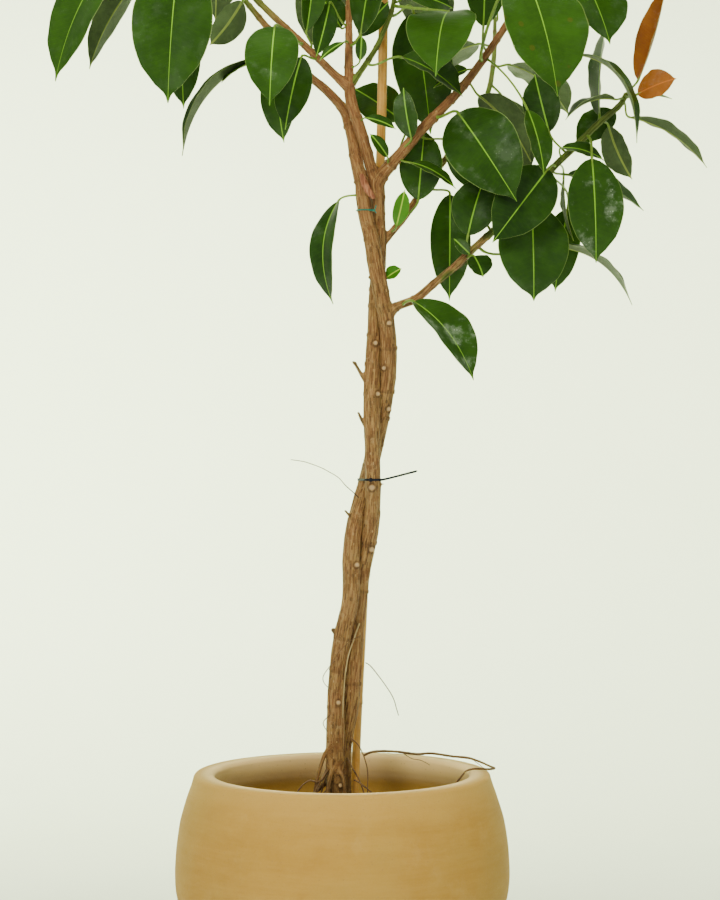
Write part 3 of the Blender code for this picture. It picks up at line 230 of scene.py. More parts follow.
# Roots that brace the front stem above the soil: route with radius
BRACE_ROOTS = [
    [
        (-1.0, -1.2, 36.8, 0.32),
        (-2.3, -1.9, 35.2, 0.3),
        (-3.4, -2.4, 31.6, 0.26),
        (-4.1, -2.7, 26.9, 0.22),
    ],
    [
        (-0.8, -1.3, 34.2, 0.34),
        (-1.6, -3.0, 32.2, 0.3),
        (-2.1, -3.8, 29.0, 0.26),
        (-2.4, -4.2, 26.9, 0.22),
    ],
    [
        (-0.7, -1.3, 33.4, 0.3),
        (0.1, -2.9, 32.0, 0.28),
        (0.5, -3.6, 29.2, 0.24),
        (0.7, -3.9, 26.9, 0.2),
    ],
    [
        (-1.2, -1.0, 32.0, 0.32),
        (-3.0, -0.8, 30.4, 0.28),
        (-4.6, -0.7, 28.8, 0.24),
        (-5.9, -0.6, 26.9, 0.2),
    ],
]

# Loose roots: x, y, z, radius
# The runner leaves the stem, crosses the rim and turns back into the pot. Over the rim its x counts from
# the lip's outer edge and its z from the rim's top. Inside, its x counts from the lip's inner edge.
RUNNER_OVER_SOIL = [
    (2.9, 0.6, 34.6, 0.17),
    (4.2, 0.1, 35.2, 0.17),
    (7.0, -0.4, 35.3, 0.17),
    (10.0, -0.7, 35.0, 0.17),
    (12.0, -0.8, 35.1, 0.16),
]
RUNNER_OVER_RIM = [
    (-5.05, -0.9, 2.25, 0.16),
    (-3.05, -0.9, 2.05, 0.16),
    (-1.55, -0.8, 1.55, 0.15),
    (-0.05, -0.5, 0.85, 0.15),
    (0.55, 0.1, 0.50, 0.15),
    (-0.15, 0.6, 0.30, 0.15),
    (-2.1, 0.8, 0.34, 0.14),
]
RUNNER_INSIDE_RIM = [(-0.35, 0.85, 0.02, 0.14), (-1.0, 0.9, -0.75, 0.14), (-2.55, 1.0, -2.8, 0.13)]
RUNNER_END = (-3.55, 1.1, 26.9, 0.12)
UPPER_AERIAL_ROOT = [
    (2.2, -1.3, 69.6, 0.07),
    (1.5, -1.8, 70.3, 0.07),
    (0.5, -2.0, 71.2, 0.07),
    (-0.5, -2.0, 72.3, 0.06),
    (-2.0, -1.9, 73.2, 0.06),
    (-3.0, -1.8, 73.7, 0.06),
    (-5.0, -1.6, 74.4, 0.06),
    (-6.9, -1.5, 74.7, 0.05),
]
LOWER_AERIAL_ROOT = [
    (3.15, 0.4, 47.2, 0.08),
    (3.7, 0.2, 46.9, 0.08),
    (4.5, 0.0, 46.0, 0.08),
    (6.0, -0.4, 44.0, 0.07),
    (6.9, -0.6, 42.5, 0.07),
    (7.3, -0.7, 41.2, 0.07),
    (7.6, -0.8, 40.2, 0.06),
]
# A root that clings to the front of the stems: x and z, with its depth worked out
CLINGING_ROOT = [(2.3, 52.6), (1.6, 50.6), (0.9, 48.6), (0.5, 46.4), (0.2, 43.5), (0.1, 40.0)]
CLINGING_ROOT_RADIUS = 0.11
CLINGING_ROOT_STEP = 0.8
CLINGING_ROOT_PROBES = [(across, up) for across in (-0.3, 0.0, 0.3) for up in (-0.8, 0.0, 0.8)]

# Ties
WIRE_TIE_HEIGHT = 108.3
WIRE_TIE_RADIUS = 0.09
CABLE_TIE_HEIGHT = 72.0
CABLE_TIE_WIDTH = 0.30
CABLE_TIE_THICKNESS = 0.13
CABLE_TIE_HEAD = (0.42, 0.32, 0.48)
CABLE_TIE_TAIL_END = (10.1, -2.6, 73.2)
# The tail's start and bend, counted from the band's right side, and the head's place from the band's front
CABLE_TIE_TAIL_START = (-0.1, 0.1, 0.0)
CABLE_TIE_TAIL_BEND = (0.8, -0.35, 0.1)
CABLE_TIE_HEAD_SHIFT = (-0.3, -0.1)
# The knot sits at these shares of the stem's radius, and its wire ends count from it: x, y, z, radius
WIRE_KNOT_SIDE, WIRE_KNOT_FRONT = 0.55, 0.84
WIRE_ENDS = [
    [(0.0, 0.0, 0.0, 0.08), (0.3, -0.3, 0.1, 0.13), (0.6, -0.5, -0.05, 0.12), (1.0, -0.7, -0.5, 0.06)],
    [(0.5, -0.45, 0.0, 0.08), (0.9, -0.4, 0.6, 0.06)],
]
TIE_EASE = 0.08

# Young green twigs at the ends of the limbs: limb, then x, y, z, radius beyond its end
SHOOTS = {
    "left_shoot": (
        "left_limb",
        [
            (-16.0, -4.3, 141.0, 0.36),
            (-20.0, -4.8, 146.4, 0.34),
            (-23.4, -5.0, 152.0, 0.3),
            (-25.2, -4.6, 158.5, 0.22),
        ],
    ),
    "top_shoot": (
        "left_fork",
        [
            (0.8, 1.5, 144.0, 0.42),
            (0.3, 2.2, 152.0, 0.38),
            (-0.2, 2.4, 160.0, 0.33),
            (-0.5, 2.2, 166.5, 0.24),
        ],
    ),
    "middle_shoot": (
        "thin_twig",
        [
            (8.6, -1.6, 143.0, 0.29),
            (10.6, -2.2, 150.0, 0.27),
            (12.0, -2.6, 157.5, 0.2),
        ],
    ),
    "right_shoot": (
        "rear_stem",
        [
            (25.0, -4.5, 139.4, 0.4),
            (26.8, -5.0, 146.0, 0.36),
            (28.4, -5.2, 154.0, 0.26),
        ],
    ),
    "rear_shoot": (
        "rear_limb",
        [
            (20.4, 8.4, 126.4, 0.36),
            (21.2, 10.6, 131.4, 0.33),
            (21.4, 12.4, 137.0, 0.24),
        ],
    ),
}

# Leaves, in centimetres: limb, height where the stalk leaves it, blade's base and tip, width,
# the way the upper face looks, how far the midrib bows towards that way (share of the length),
# how far the halves fold up (degrees)
LEAVES = [
    ("low_limb", 95.7, (9.5, -4.2, 95.8), (17.4, -6.8, 85.2), 7.0, (0.42, -0.68, 0.6), 0.12, 20),
    ("front_stem", 110.4, (-0.5, -1.6, 109.5), (-1.2, -3.2, 95.5), 4.6, (-0.7, -0.7, 0.12), 0.17, 14),
    ("rear_limb", 112.0, (14.7, 3.4, 111.0), (14.6, 3.0, 96.4), 5.8, (0.0, -0.93, 0.2), 0.04, 16),
    ("low_limb", 103.4, (28.0, 0.5, 103.6), (39.2, 0.0, 95.6), 7.0, (0.5, -0.2, 0.84), 0.16, 22),
    ("low_limb", 109.4, (25.2, -5.0, 108.8), (25.4, -6.2, 95.7), 9.6, (0.05, -0.95, 0.2), 0.05, 10),
    ("low_limb", 113.0, (31.0, 5.5, 109.2), (29.3, 5.8, 97.8), 5.4, (-0.2, -0.9, 0.2), 0.05, 12),
    ("low_limb", 113.9, (27.3, -6.2, 113.2), (19.7, -9.8, 103.1), 7.8, (0.35, -0.8, 0.5), 0.06, 12),
    ("low_limb", 118.0, (33.0, -7.0, 114.5), (33.3, -9.2, 100.5), 7.6, (0.1, -0.93, 0.25), 0.05, 8),
    ("low_limb", 113.4, (30.3, -1.0, 113.1), (40.8, 0.4, 108.4), 6.0, (0.3, -0.5, 0.8), 0.08, 14),
    ("low_limb", 120.0, (35.8, -1.8, 119.5), (39.1, -0.6, 112.5), 4.6, (-0.5, 0.75, 0.0), 0.06, 12),
    ("low_limb", 122.5, (38.5, -2.6, 120.6), (49.0, -2.0, 113.9), 4.4, (0.5, 0.1, 0.85), 0.10, 20),
    ("low_limb", 121.0, (37.0, 0.8, 121.9), (31.6, 1.2, 117.5), 5.0, (-0.2, -0.85, 0.45), 0.06, 12),
    ("low_limb", 102.6, (16.8, -3.9, 104.6), (19.2, -2.6, 112.7), 6.4, (-0.2, -0.95, 0.2), 0.10, 14),
    ("low_limb", 105.2, (19.2, 0.0, 111.0), (14.7, 1.6, 119.4), 5.4, (-0.3, -0.85, 0.4), 0.05, 12),
    ("rear_limb", 105.6, (7.3, -0.4, 106.2), (8.4, -1.4, 111.0), 2.3, (0.2, -0.9, 0.3), 0.06, 18),
    ("rear_limb", 107.4, (10.3, 1.0, 109.9), (11.2, 1.4, 119.8), 6.0, (-0.1, -0.98, 0.1), 0.03, 12),
    ("rear_stem", 116.8, (9.3, -1.9, 117.9), (8.2, -4.0, 124.3), 3.7, (-0.4, -0.85, 0.2), 0.06, 16),
    ("rear_stem", 116.3, (8.0, 5.0, 121.4), (1.5, 7.8, 126.2), 6.2, (-0.3, -0.8, 0.5), 0.06, 12),
    ("rear_stem", 121.0, (15.4, -5.2, 120.8), (22.8, -11.2, 108.3), 9.8, (-0.3, -0.8, 0.5), 0.08, 12),
    ("rear_stem", 125.4, (18.4, -0.8, 123.8), (25.4, -1.4, 114.8), 6.0, (0.35, 0.7, 0.55), 0.12, 12),
    ("rear_stem", 128.5, (24.5, -7.0, 120.9), (26.5, -8.8, 112.1), 4.0, (0.5, -0.8, 0.2), 0.06, 16),
    ("low_limb", 115.5, (27.7, -3.2, 118.5), (25.7, -4.0, 126.1), 5.2, (-0.3, -0.85, 0.3), 0.06, 14),
    ("low_limb", 122.7, (36.1, -6.2, 122.4), (29.4, -8.0, 119.4), 4.2, (-0.25, -0.1, 0.93), 0.14, 20),
    ("low_limb", 121.9, (38.7, -4.2, 123.3), (43.9, -4.8, 122.7), 2.6, (0.05, -0.25, 0.96), 0.05, 18),
    ("low_limb", 123.5, (39.4, -4.5, 125.2), (43.0, -5.6, 138.0), 4.6, (-0.6, -0.6, 0.4), -0.05, 50),
    ("low_limb", 123.1, (38.9, -8.0, 122.8), (43.7, -10.0, 124.5), 4.8, (-0.1, -0.8, 0.55), 0.05, 10),
    ("low_limb", 119.4, (34.6, -1.6, 121.0), (35.8, -0.6, 133.9), 6.0, (-0.92, -0.15, 0.3), 0.04, 14),
    ("right_shoot", 137.6, (31.3, -8.4, 127.9), (38.5, -10.4, 116.0), 4.2, (0.6, -0.35, 0.72), 0.20, 18),
    ("right_shoot", 146.0, (30.2, -7.4, 140.7), (35.0, -10.4, 128.9), 10.2, (0.45, -0.75, 0.45), 0.06, 10),
    ("rear_stem", 128.0, (23.6, -13.0, 137.6), (27.5, -17.6, 120.9), 11.4, (0.25, -0.85, 0.45), 0.08, 10),
    ("thin_twig", 128.2, (7.9, -2.8, 128.6), (16.1, -4.2, 123.1), 6.4, (0.2, -0.55, 0.8), 0.08, 22),
    ("thin_twig", 135.8, (14.2, -5.0, 134.2), (12.2, -12.2, 124.4), 9.4, (-0.1, -0.6, 0.8), 0.18, 10),
    ("thin_twig", 134.6, (9.8, 6.0, 136.4), (12.2, 7.6, 119.8), 8.8, (0.1, -0.93, 0.3), 0.06, 10),
    ("left_fork", 130.6, (2.5, -1.6, 131.9), (5.5, -7.0, 144.7), 6.6, (-0.3, -0.75, 0.55), 0.05, 12),
    ("left_fork", 133.4, (-1.7, -1.0, 136.2), (-3.5, -2.2, 128.7), 3.4, (0.3, -0.85, 0.3), 0.06, 16),
    ("left_limb", 129.8, (-4.8, -3.0, 132.0), (-3.5, -4.4, 145.3), 4.4, (0.55, -0.8, 0.1), 0.04, 24),
    ("left_limb", 128.8, (-5.4, -3.7, 128.5), (-7.5, -6.2, 118.4), 5.0, (-0.1, -0.93, 0.3), 0.08, 12),
    ("front_stem", 128.4, (-9.0, 3.2, 128.2), (-8.0, 3.8, 118.1), 4.8, (-0.3, -0.88, 0.3), 0.08, 12),
    ("left_limb", 130.6, (-8.8, -8.0, 131.7), (-9.3, -12.4, 120.6), 7.2, (0.0, -0.85, 0.5), 0.14, 10),
    ("left_limb", 132.4, (-11.4, -3.6, 128.2), (-21.3, -4.2, 115.2), 5.2, (-0.74, -0.22, 0.62), 0.14, 34),
    ("left_shoot", 138.6, (-21.4, -5.0, 133.6), (-20.9, -6.6, 121.1), 5.2, (-0.05, -0.93, 0.3), 0.05, 12),
    ("left_shoot", 143.0, (-21.1, -11.6, 139.6), (-22.2, -15.4, 120.4), 10.6, (-0.1, -0.93, 0.3), 0.06, 8),
    ("left_shoot", 150.0, (-29.6, -6.0, 142.0), (-37.6, -8.4, 124.4), 9.0, (-0.4, -0.75, 0.5), 0.10, 10),
]

# Leaves that are one piece with a young twig: the same columns
SHOOT_LEAVES = [
    ("left_shoot", 139.4, (-13.6, 1.6, 137.0), (-18.2, 3.6, 131.4), 4.4, (0.1, 0.9, -0.1), 0.12, 20),
    ("left_shoot", 148.6, (-26.0, 1.0, 141.6), (-34.4, 1.6, 127.8), 5.0, (-0.7, 0.55, 0.3), 0.10, 20),
    ("left_shoot", 153.0, (-27.0, -5.6, 152.6), (-39.0, -7.0, 146.0), 7.6, (-0.2, -0.3, 0.93), 0.10, 12),
    ("left_shoot", 151.6, (-23.8, 0.4, 151.0), (-29.0, 12.0, 142.6), 8.0, (-0.2, 0.5, 0.85), 0.12, 12),
    ("left_shoot", 152.4, (-21.0, -8.6, 151.6), (-15.4, -19.0, 145.0), 7.6, (0.1, -0.6, 0.8), 0.10, 12),
    ("left_shoot", 158.2, (-26.2, -4.6, 161.4), (-31.0, -3.6, 172.0), 6.4, (0.8, -0.3, 0.4), 0.05, 16),
    ("left_shoot", 156.0, (-22.0, -3.0, 158.4), (-13.0, 1.0, 163.6), 7.0, (0.0, -0.3, 0.93), 0.10, 12),
    ("left_shoot", 144.4, (-17.0, 0.0, 143.8), (-18.0, 13.0, 136.6), 8.0, (0.0, 0.5, 0.85), 0.12, 12),
    ("top_shoot", 146.0, (4.0, 5.6, 147.8), (13.6, 12.6, 142.0), 8.0, (0.3, 0.2, 0.9), 0.10, 12),
    ("top_shoot", 149.6, (-3.0, 3.4, 151.0), (-13.6, 8.0, 146.0), 8.0, (-0.3, 0.2, 0.9), 0.10, 12),
    ("top_shoot", 153.6, (0.6, 5.6, 154.6), (2.6, 18.4, 148.6), 8.4, (0.0, 0.4, 0.9), 0.12, 12),
    ("top_shoot", 157.0, (0.0, -1.0, 158.6), (-4.2, -13.6, 153.4), 8.0, (0.0, -0.4, 0.9), 0.12, 12),
    ("top_shoot", 161.4, (2.6, 2.0, 163.2), (12.2, -2.0, 168.0), 7.0, (-0.3, 0.0, 0.93), 0.10, 14),
    ("top_shoot", 163.6, (-2.8, 3.0, 166.0), (-9.4, 6.0, 175.0), 6.4, (0.6, -0.2, 0.7), 0.08, 16),
    ("top_shoot", 166.2, (-0.5, 2.1, 168.0), (0.2, 1.2, 179.0), 3.0, (0.3, -0.9, 0.0), 0.02, 60),
    ("top_shoot", 142.0, (-0.6, 6.2, 142.2), (-4.6, 17.2, 133.6), 8.0, (-0.1, 0.5, 0.85), 0.12, 12),
    ("middle_shoot", 146.0, (9.4, -5.6, 146.6), (9.8, -17.6, 140.0), 8.0, (0.0, -0.5, 0.85), 0.12, 12),
    ("middle_shoot", 151.6, (14.0, 0.0, 152.6), (21.0, 10.4, 147.6), 7.8, (0.2, 0.4, 0.88), 0.10, 12),
    ("middle_shoot", 154.6, (14.2, -5.8, 156.0), (19.0, -16.4, 151.8), 7.4, (0.2, -0.4, 0.88), 0.10, 12),
    ("middle_shoot", 157.2, (12.2, -2.8, 160.0), (13.6, -4.6, 172.6), 5.6, (-0.6, -0.7, 0.2), 0.05, 18),
    ("middle_shoot", 141.4, (10.2, 4.6, 141.0), (13.0, 17.4, 133.4), 8.0, (0.1, 0.5, 0.85), 0.12, 12),
    ("right_shoot", 150.0, (31.6, -4.4, 150.6), (43.4, -4.0, 145.4), 7.6, (0.3, 0.0, 0.93), 0.10, 12),
    ("right_shoot", 143.0, (27.2, 0.0, 143.4), (30.0, 12.6, 136.4), 8.0, (0.1, 0.5, 0.85), 0.12, 12),
    ("right_shoot", 151.4, (25.4, -8.4, 153.0), (19.6, -18.0, 156.0), 7.2, (0.0, -0.3, 0.93), 0.10, 14),
    ("right_shoot", 153.6, (29.2, -5.4, 156.6), (33.2, -7.0, 168.6), 6.2, (-0.7, -0.5, 0.4), 0.05, 16),
    ("right_shoot", 148.0, (31.4, -8.0, 146.8), (38.4, -12.6, 135.4), 6.4, (0.5, -0.5, 0.6), 0.10, 12),
    ("right_shoot", 141.0, (20.6, -2.6, 142.4), (13.6, -1.4, 152.6), 6.4, (0.3, -0.6, 0.7), 0.06, 12),
    ("rear_shoot", 130.0, (23.6, 13.0, 130.4), (32.6, 20.0, 124.4), 7.8, (0.3, 0.4, 0.85), 0.12, 12),
    ("rear_shoot", 133.0, (19.0, 14.4, 133.6), (10.6, 21.0, 128.0), 7.6, (-0.2, 0.4, 0.88), 0.12, 12),
    ("rear_shoot", 127.0, (22.4, 11.0, 125.4), (25.0, 18.0, 113.6), 7.4, (0.2, 0.8, 0.45), 0.10, 12),
    ("rear_shoot", 136.6, (21.8, 13.6, 139.4), (25.6, 17.0, 149.6), 6.0, (-0.4, -0.2, 0.8), 0.06, 16),
]
LEAF_ROUNDNESS = 0.72
LEAF_FULLNESS_AT = 0.88

# The dry sheath that is left between the stems
SHEATH_ROUTE = [(2.6, -1.98, 113.1), (3.3, -1.98, 111.3), (4.35, -1.85, 109.8)]
SHEATH_WIDTH = 1.0

# Pale pruning scars on the front of the stems, in centimetres: x, z, radius
SCARS = [
    (4.0, 70.9, 0.42),
    (4.0, 62.5, 0.40),
    (2.0, 60.5, 0.36),
    (6.3, 81.5, 0.34),
    (6.3, 93.0, 0.36),
    (4.5, 90.4, 0.34),
    (5.6, 87.0, 0.30),
    (4.8, 83.5, 0.34),
    (-0.5, 42.0, 0.34),
    (-0.2, 31.0, 0.30),
]
KNOB_HEIGHT = 0.15
BARK_SWELL = 0.035
FOOT_ROOTS = 26
# Below this radius, in centimetres, a limb's bark is still green
GREEN_WOOD_RADIUS = 0.46

# Thin roots, stem to tip, in centimetres: x, y, z, radius
FINE_ROOTS = [
    [(-1.0, -1.6, 47.6, 0.06), (-1.8, -1.9, 46.8, 0.06), (-2.6, -1.9, 45.5, 0.06), (-2.2, -1.7, 44.4, 0.05), (-1.1, -1.4, 43.6, 0.05)],
    [(-1.2, -1.5, 40.6, 0.07), (-2.1, -1.7, 40.0, 0.07), (-2.6, -1.7, 39.3, 0.06), (-2.1, -1.6, 38.3, 0.06), (-1.3, -1.5, 37.8, 0.05)],
    [(2.4, -1.0, 50.9, 0.05), (1.3, -1.9, 50.5, 0.05), (-0.3, -2.2, 49.0, 0.05), (-1.8, -1.9, 46.5, 0.05)],
    [(1.2, -0.9, 37.2, 0.09), (2.4, -1.4, 36.0, 0.09), (3.4, -1.7, 33.0, 0.08), (3.4, -1.8, 30.0, 0.08), (3.7, -1.9, 26.4, 0.07)],
    [(-2.6, -2.4, 32.0, 0.13), (-3.3, -2.7, 31.5, 0.13), (-4.5, -2.9, 31.7, 0.12), (-6.0, -3.1, 30.2, 0.11), (-7.0, -3.2, 26.6, 0.09)],
    [(1.6, -1.6, 31.6, 0.12), (2.6, -2.6, 31.2, 0.11), (4.0, -3.2, 30.2, 0.11), (4.8, -3.6, 28.6, 0.10), (5.2, -3.8, 26.4, 0.08)],
    [(0.9, 1.9, 36.0, 0.12), (0.4, 3.0, 33.4, 0.12), (0.2, 4.0, 30.0, 0.11), (0.1, 4.6, 26.6, 0.10)],
    [(-0.6, 1.4, 35.0, 0.11), (-2.2, 2.4, 32.4, 0.11), (-3.4, 3.0, 29.6, 0.10), (-4.0, 3.4, 26.6, 0.09)],
    [(12.7, -2.6, 98.7, 0.04), (14.4, -3.0, 100.6, 0.04), (17.4, -3.2, 102.3, 0.04)],
    [(13.0, -2.7, 98.2, 0.04), (15.0, -3.0, 99.8, 0.04), (17.5, -3.2, 101.8, 0.04)],
]
CLINGING_THREADS = []
RUNNER_THREADS = [
    [(8.2, -0.5, 35.1, 0.06), (9.4, -0.9, 34.4, 0.05), (10.6, -1.2, 34.2, 0.05), (11.8, -1.3, 33.6, 0.04)],
    [(17.4, -0.9, 34.4, 0.06), (18.4, -1.3, 33.7, 0.05), (18.9, -1.5, 33.3, 0.05), (19.6, -1.4, 33.0, 0.04)],
]

# Small and half-hidden leaves: a kind, then the same columns as the other leaves
SMALL_LEAVES = [
    ("grown", "left_limb", 131.6, (-12.4, -4.5, 127.4), (-16.0, -5.0, 124.8), 2.4, (-0.5, -0.5, 0.7), 0.08, 16),
    ("grown", "left_fork", 133.5, (-0.2, 1.6, 133.4), (-3.6, 2.6, 138.6), 4.4, (0.2, -0.9, 0.3), 0.06, 12),
    ("grown", "left_fork", 131.0, (0.2, -2.6, 130.6), (-3.0, -3.6, 128.0), 1.6, (-0.3, -0.8, 0.5), 0.08, 16),
    ("grown", "left_fork", 131.2, (2.3, 1.2, 132.2), (6.4, 2.6, 137.2), 3.6, (0.1, -0.9, 0.3), 0.06, 14),
    ("grown", "left_fork", 127.6, (2.4, -1.6, 128.4), (2.6, -2.4, 131.6), 1.7, (0.2, -0.9, 0.2), 0.06, 18),
    ("grown", "rear_stem", 126.0, (17.0, 1.0, 127.6), (12.4, 2.6, 125.4), 3.2, (0.0, -0.7, 0.7), 0.08, 14),
    ("grown", "left_fork", 120.2, (3.2, -1.9, 120.6), (7.2, -2.6, 119.0), 1.8, (0.1, -0.8, 0.6), 0.08, 18),
    ("grown", "rear_stem", 114.5, (6.1, -1.6, 115.4), (3.7, -2.6, 118.4), 2.0, (0.3, -0.9, 0.2), 0.06, 18),
    ("grown", "low_limb", 114.4, (30.2, 3.0, 113.0), (31.6, 3.4, 104.6), 4.0, (-0.95, 0.1, 0.2), 0.05, 16),
    ("grown", "rear_stem", 115.6, (9.2, -1.8, 114.6), (15.2, -3.0, 111.0), 2.4, (0.2, -0.7, 0.7), 0.10, 20),
    ("grown", "rear_stem", 118.6, (13.8, 1.2, 118.2), (20.2, 0.6, 115.8), 5.0, (0.0, -0.8, 0.6), 0.08, 12),
    ("grown", "low_limb", 114.9, (29.2, -4.6, 116.2), (34.8, -5.4, 114.4), 3.0, (0.1, -0.6, 0.8), 0.10, 16),
    ("grown", "rear_stem", 129.2, (19.0, -1.2, 133.0), (19.4, 0.6, 146.0), 6.0, (0.1, -0.95, 0.1), 0.04, 12),
    ("grown", "low_limb", 102.2, (17.0, -3.6, 102.2), (14.9, -4.6, 104.1), 1.8, (-0.2, -0.9, 0.3), 0.04, 24),
    ("grown", "low_limb", 102.0, (17.6, -3.6, 101.9), (18.8, -4.4, 99.0), 3.8, (0.3, -0.85, 0.4), 0.08, 18),
    ("fresh", "front_stem", 98.9, (5.9, -0.2, 99.2), (8.0, -0.5, 100.5), 2.4, (0.0, -0.7, 0.6), 0.04, 24),
    ("grown", "thin_twig", 136.4, (9.0, -0.5, 137.4), (15.0, 1.5, 136.0), 5.0, (0.1, -0.8, 0.5), 0.08, 12),
]
# Leaves that are young and coppery or fresh and bright, and the brightness, dust and burnt spots of leaves that stand out
KINDS = {"leaf_25": "young", "leaf_26": "young", "leaf_15": "fresh"}
LOOKS = {
    "leaf_01": (0.20, 0.9, 0.0),
    "leaf_08": (0.18, 0.8, 0.0),
    "leaf_15": (0.30, 0.02, 0.0),
    "leaf_22": (0.00, 0.1, 0.0),
    "leaf_29": (0.32, 0.2, 0.9),
    "leaf_30": (0.36, 0.08, 0.15),
    "leaf_32": (0.40, 0.05, 0.0),
    "leaf_42": (0.16, 0.1, 0.0),
    "leaf_43": (0.30, 0.1, 0.0),
}

# Area lights: name, place, target, size, power and colour
LIGHTS = [
    ("Key light", (-1.3, -3.2, 2.6), (0.05, 0.0, 0.8), (1.0, 1.3), 112.0, (1.0, 0.98, 0.90)),
    ("Window light", (-2.4, -2.6, 2.7), (0.0, 0.0, 1.4), (0.35, 0.7), 9.0, (1.0, 1.0, 0.96)),
    ("Fill light", (1.4, -3.6, 1.5), (0.0, 0.0, 0.7), (2.0, 2.0), 52.0, (0.99, 1.0, 0.92)),
    ("Top light", (0.0, -0.4, 3.3), (0.0, 0.1, 0.3), (1.2, 1.2), 70.0, (1.0, 1.0, 0.92)),
    ("Left wall light", (-2.6, 0.5, 1.4), (0.1, 2.2, 0.9), (1.0, 2.4), 118.0, (0.88, 1.0, 0.62)),
    ("Right wall light", (2.6, 0.5, 1.4), (-0.1, 2.2, 0.9), (1.0, 2.4), 60.0, (0.90, 1.0, 0.62)),
]
WALL_SPREAD = 84
WORLD_STRENGTH = 0.22


# User-changeable sizes and colours


class PlantSizes(bpy.types.PropertyGroup):
    voxel: bpy.props.FloatProperty(
        name="Bark detail", description="Size of the bark mesh's cells", default=0.0014, min=0.001, subtype="DISTANCE"
    )
    bark_relief: bpy.props.FloatProperty(
        name="Bark relief", description="Height of the bark's ridges", default=0.0007, subtype="DISTANCE"
    )
    leaf_rows: bpy.props.IntProperty(name="Leaf rows", description="Rows of faces along a leaf", default=34, min=8)
    leaf_thickness: bpy.props.FloatProperty(
        name="Leaf thickness", description="Thickness of a leaf's blade", default=0.0007, subtype="DISTANCE"
    )
    margin_wave: bpy.props.FloatProperty(
        name="Margin wave", description="How far leaf margins wave, as a share of the half width", default=0.05
    )
    pot_wobble: bpy.props.FloatProperty(
        name="Pot wobble", description="How far the clay strays from a true circle", default=0.0008, subtype="DISTANCE"
    )
    soil_relief: bpy.props.FloatProperty(
        name="Soil relief", description="Height of the lumps in the soil", default=0.004, subtype="DISTANCE"
    )


def colour_property(name, description, value):
    return bpy.props.FloatVectorProperty(
        name=name, description=description, default=value, min=0.0, max=1.0, subtype="COLOR", size=3
    )


class PlantColours(bpy.types.PropertyGroup):
    clay: colour_property("Clay", "Main colour of the fired clay", (0.46, 0.262, 0.045))
    clay_light: colour_property("Light clay", "Colour of the lip and worn places", (0.56, 0.335, 0.072))
    soil: colour_property("Soil", "Colour of the potting soil", (0.045, 0.028, 0.017))
    bark: colour_property("Bark", "Main colour of the stems", (0.190, 0.094, 0.030))
    bark_light: colour_property("Light bark", "Colour of the bark's ridges", (0.37, 0.215, 0.068))
    scar: colour_property("Scars", "Colour of pruned stubs and scars", (0.40, 0.25, 0.11))
    bamboo: colour_property("Bamboo", "Colour of the cane", (0.62, 0.32, 0.055))
    leaf: colour_property("Leaf", "Upper side of a grown leaf", (0.0095, 0.0290, 0.0032))
    leaf_light: colour_property("Light leaf", "Lighter patches of the upper side", (0.042, 0.120, 0.0065))
    underside: colour_property("Underside", "Lower side of a grown leaf", (0.046, 0.072, 0.024))
    midrib: colour_property("Midrib", "Midrib and margin of a leaf", (0.20, 0.42, 0.030))
    young: colour_property("Young leaf", "Coppery new leaves", (0.16, 0.040, 0.006))
    twig: colour_property("Green twig", "Bark of young twigs and leaf stalks", (0.100, 0.200, 0.018))
    wire: colour_property("Green wire", "Coating of the wire tie", (0.008, 0.115, 0.078))
    strap: colour_property("Black strap", "Plastic of the cable tie", (0.008, 0.010, 0.014))
    root: colour_property("Root", "Skin of the loose roots", (0.15, 0.080, 0.032))


def sizes():
    return bpy.context.scene.plant_sizes


def colours():
    return bpy.context.scene.plant_colours


# Shader helpers


def node(tree, kind, inputs=None, **settings):
    """Adds a shader node; each input is a socket to link or a plain value."""
    made = tree.nodes.new(kind)
    for key, value in settings.items():
        setattr(made, key, value)
    for key, value in (inputs or {}).items():
        if isinstance(value, bpy.types.NodeSocket):
            tree.links.new(value, made.inputs[key])
        else:
            made.inputs[key].default_value = value
    return made


def maths(tree, operation, first, second=0.0, clamp=False):
    return node(tree, "ShaderNodeMath", {0: first, 1: second}, operation=operation, use_clamp=clamp).outputs[0]


def mapped(tree, value, from_low, from_high, to_low=0.0, to_high=1.0):
    inputs = {"Value": value, "From Min": from_low, "From Max": from_high, "To Min": to_low, "To Max": to_high}
    return node(tree, "ShaderNodeMapRange", inputs, interpolation_type="SMOOTHSTEP").outputs["Result"]


def rgba(colour, alpha=1.0):
    return (*tuple(colour)[:3], alpha)


def mixed(tree, factor, first, second, blend="MIX"):
    made = node(tree, "ShaderNodeMix", data_type="RGBA", blend_type=blend, clamp_factor=True)
    for index, value in ((0, factor), (6, first), (7, second)):
        if isinstance(value, bpy.types.NodeSocket):
            tree.links.new(value, made.inputs[index])
        else:
            made.inputs[index].default_value = value
    return made.outputs[2]


def noise_value(tree, vector, scale, detail=3.0, roughness=0.55):
    inputs = {"Vector": vector, "Scale": scale, "Detail": detail, "Roughness": roughness}
    return node(tree, "ShaderNodeTexNoise", inputs).outputs["Fac"]


def stretched(tree, vector, scale):
    return node(tree, "ShaderNodeMapping", {"Vector": vector, "Scale": scale}).outputs["Vector"]


def object_place(tree):
    return node(tree, "ShaderNodeTexCoord").outputs["Object"]


def attribute(tree, name):
    return node(tree, "ShaderNodeAttribute", attribute_name=name)


def axes(tree, vector):
    return node(tree, "ShaderNodeSeparateXYZ", {"Vector": vector}).outputs


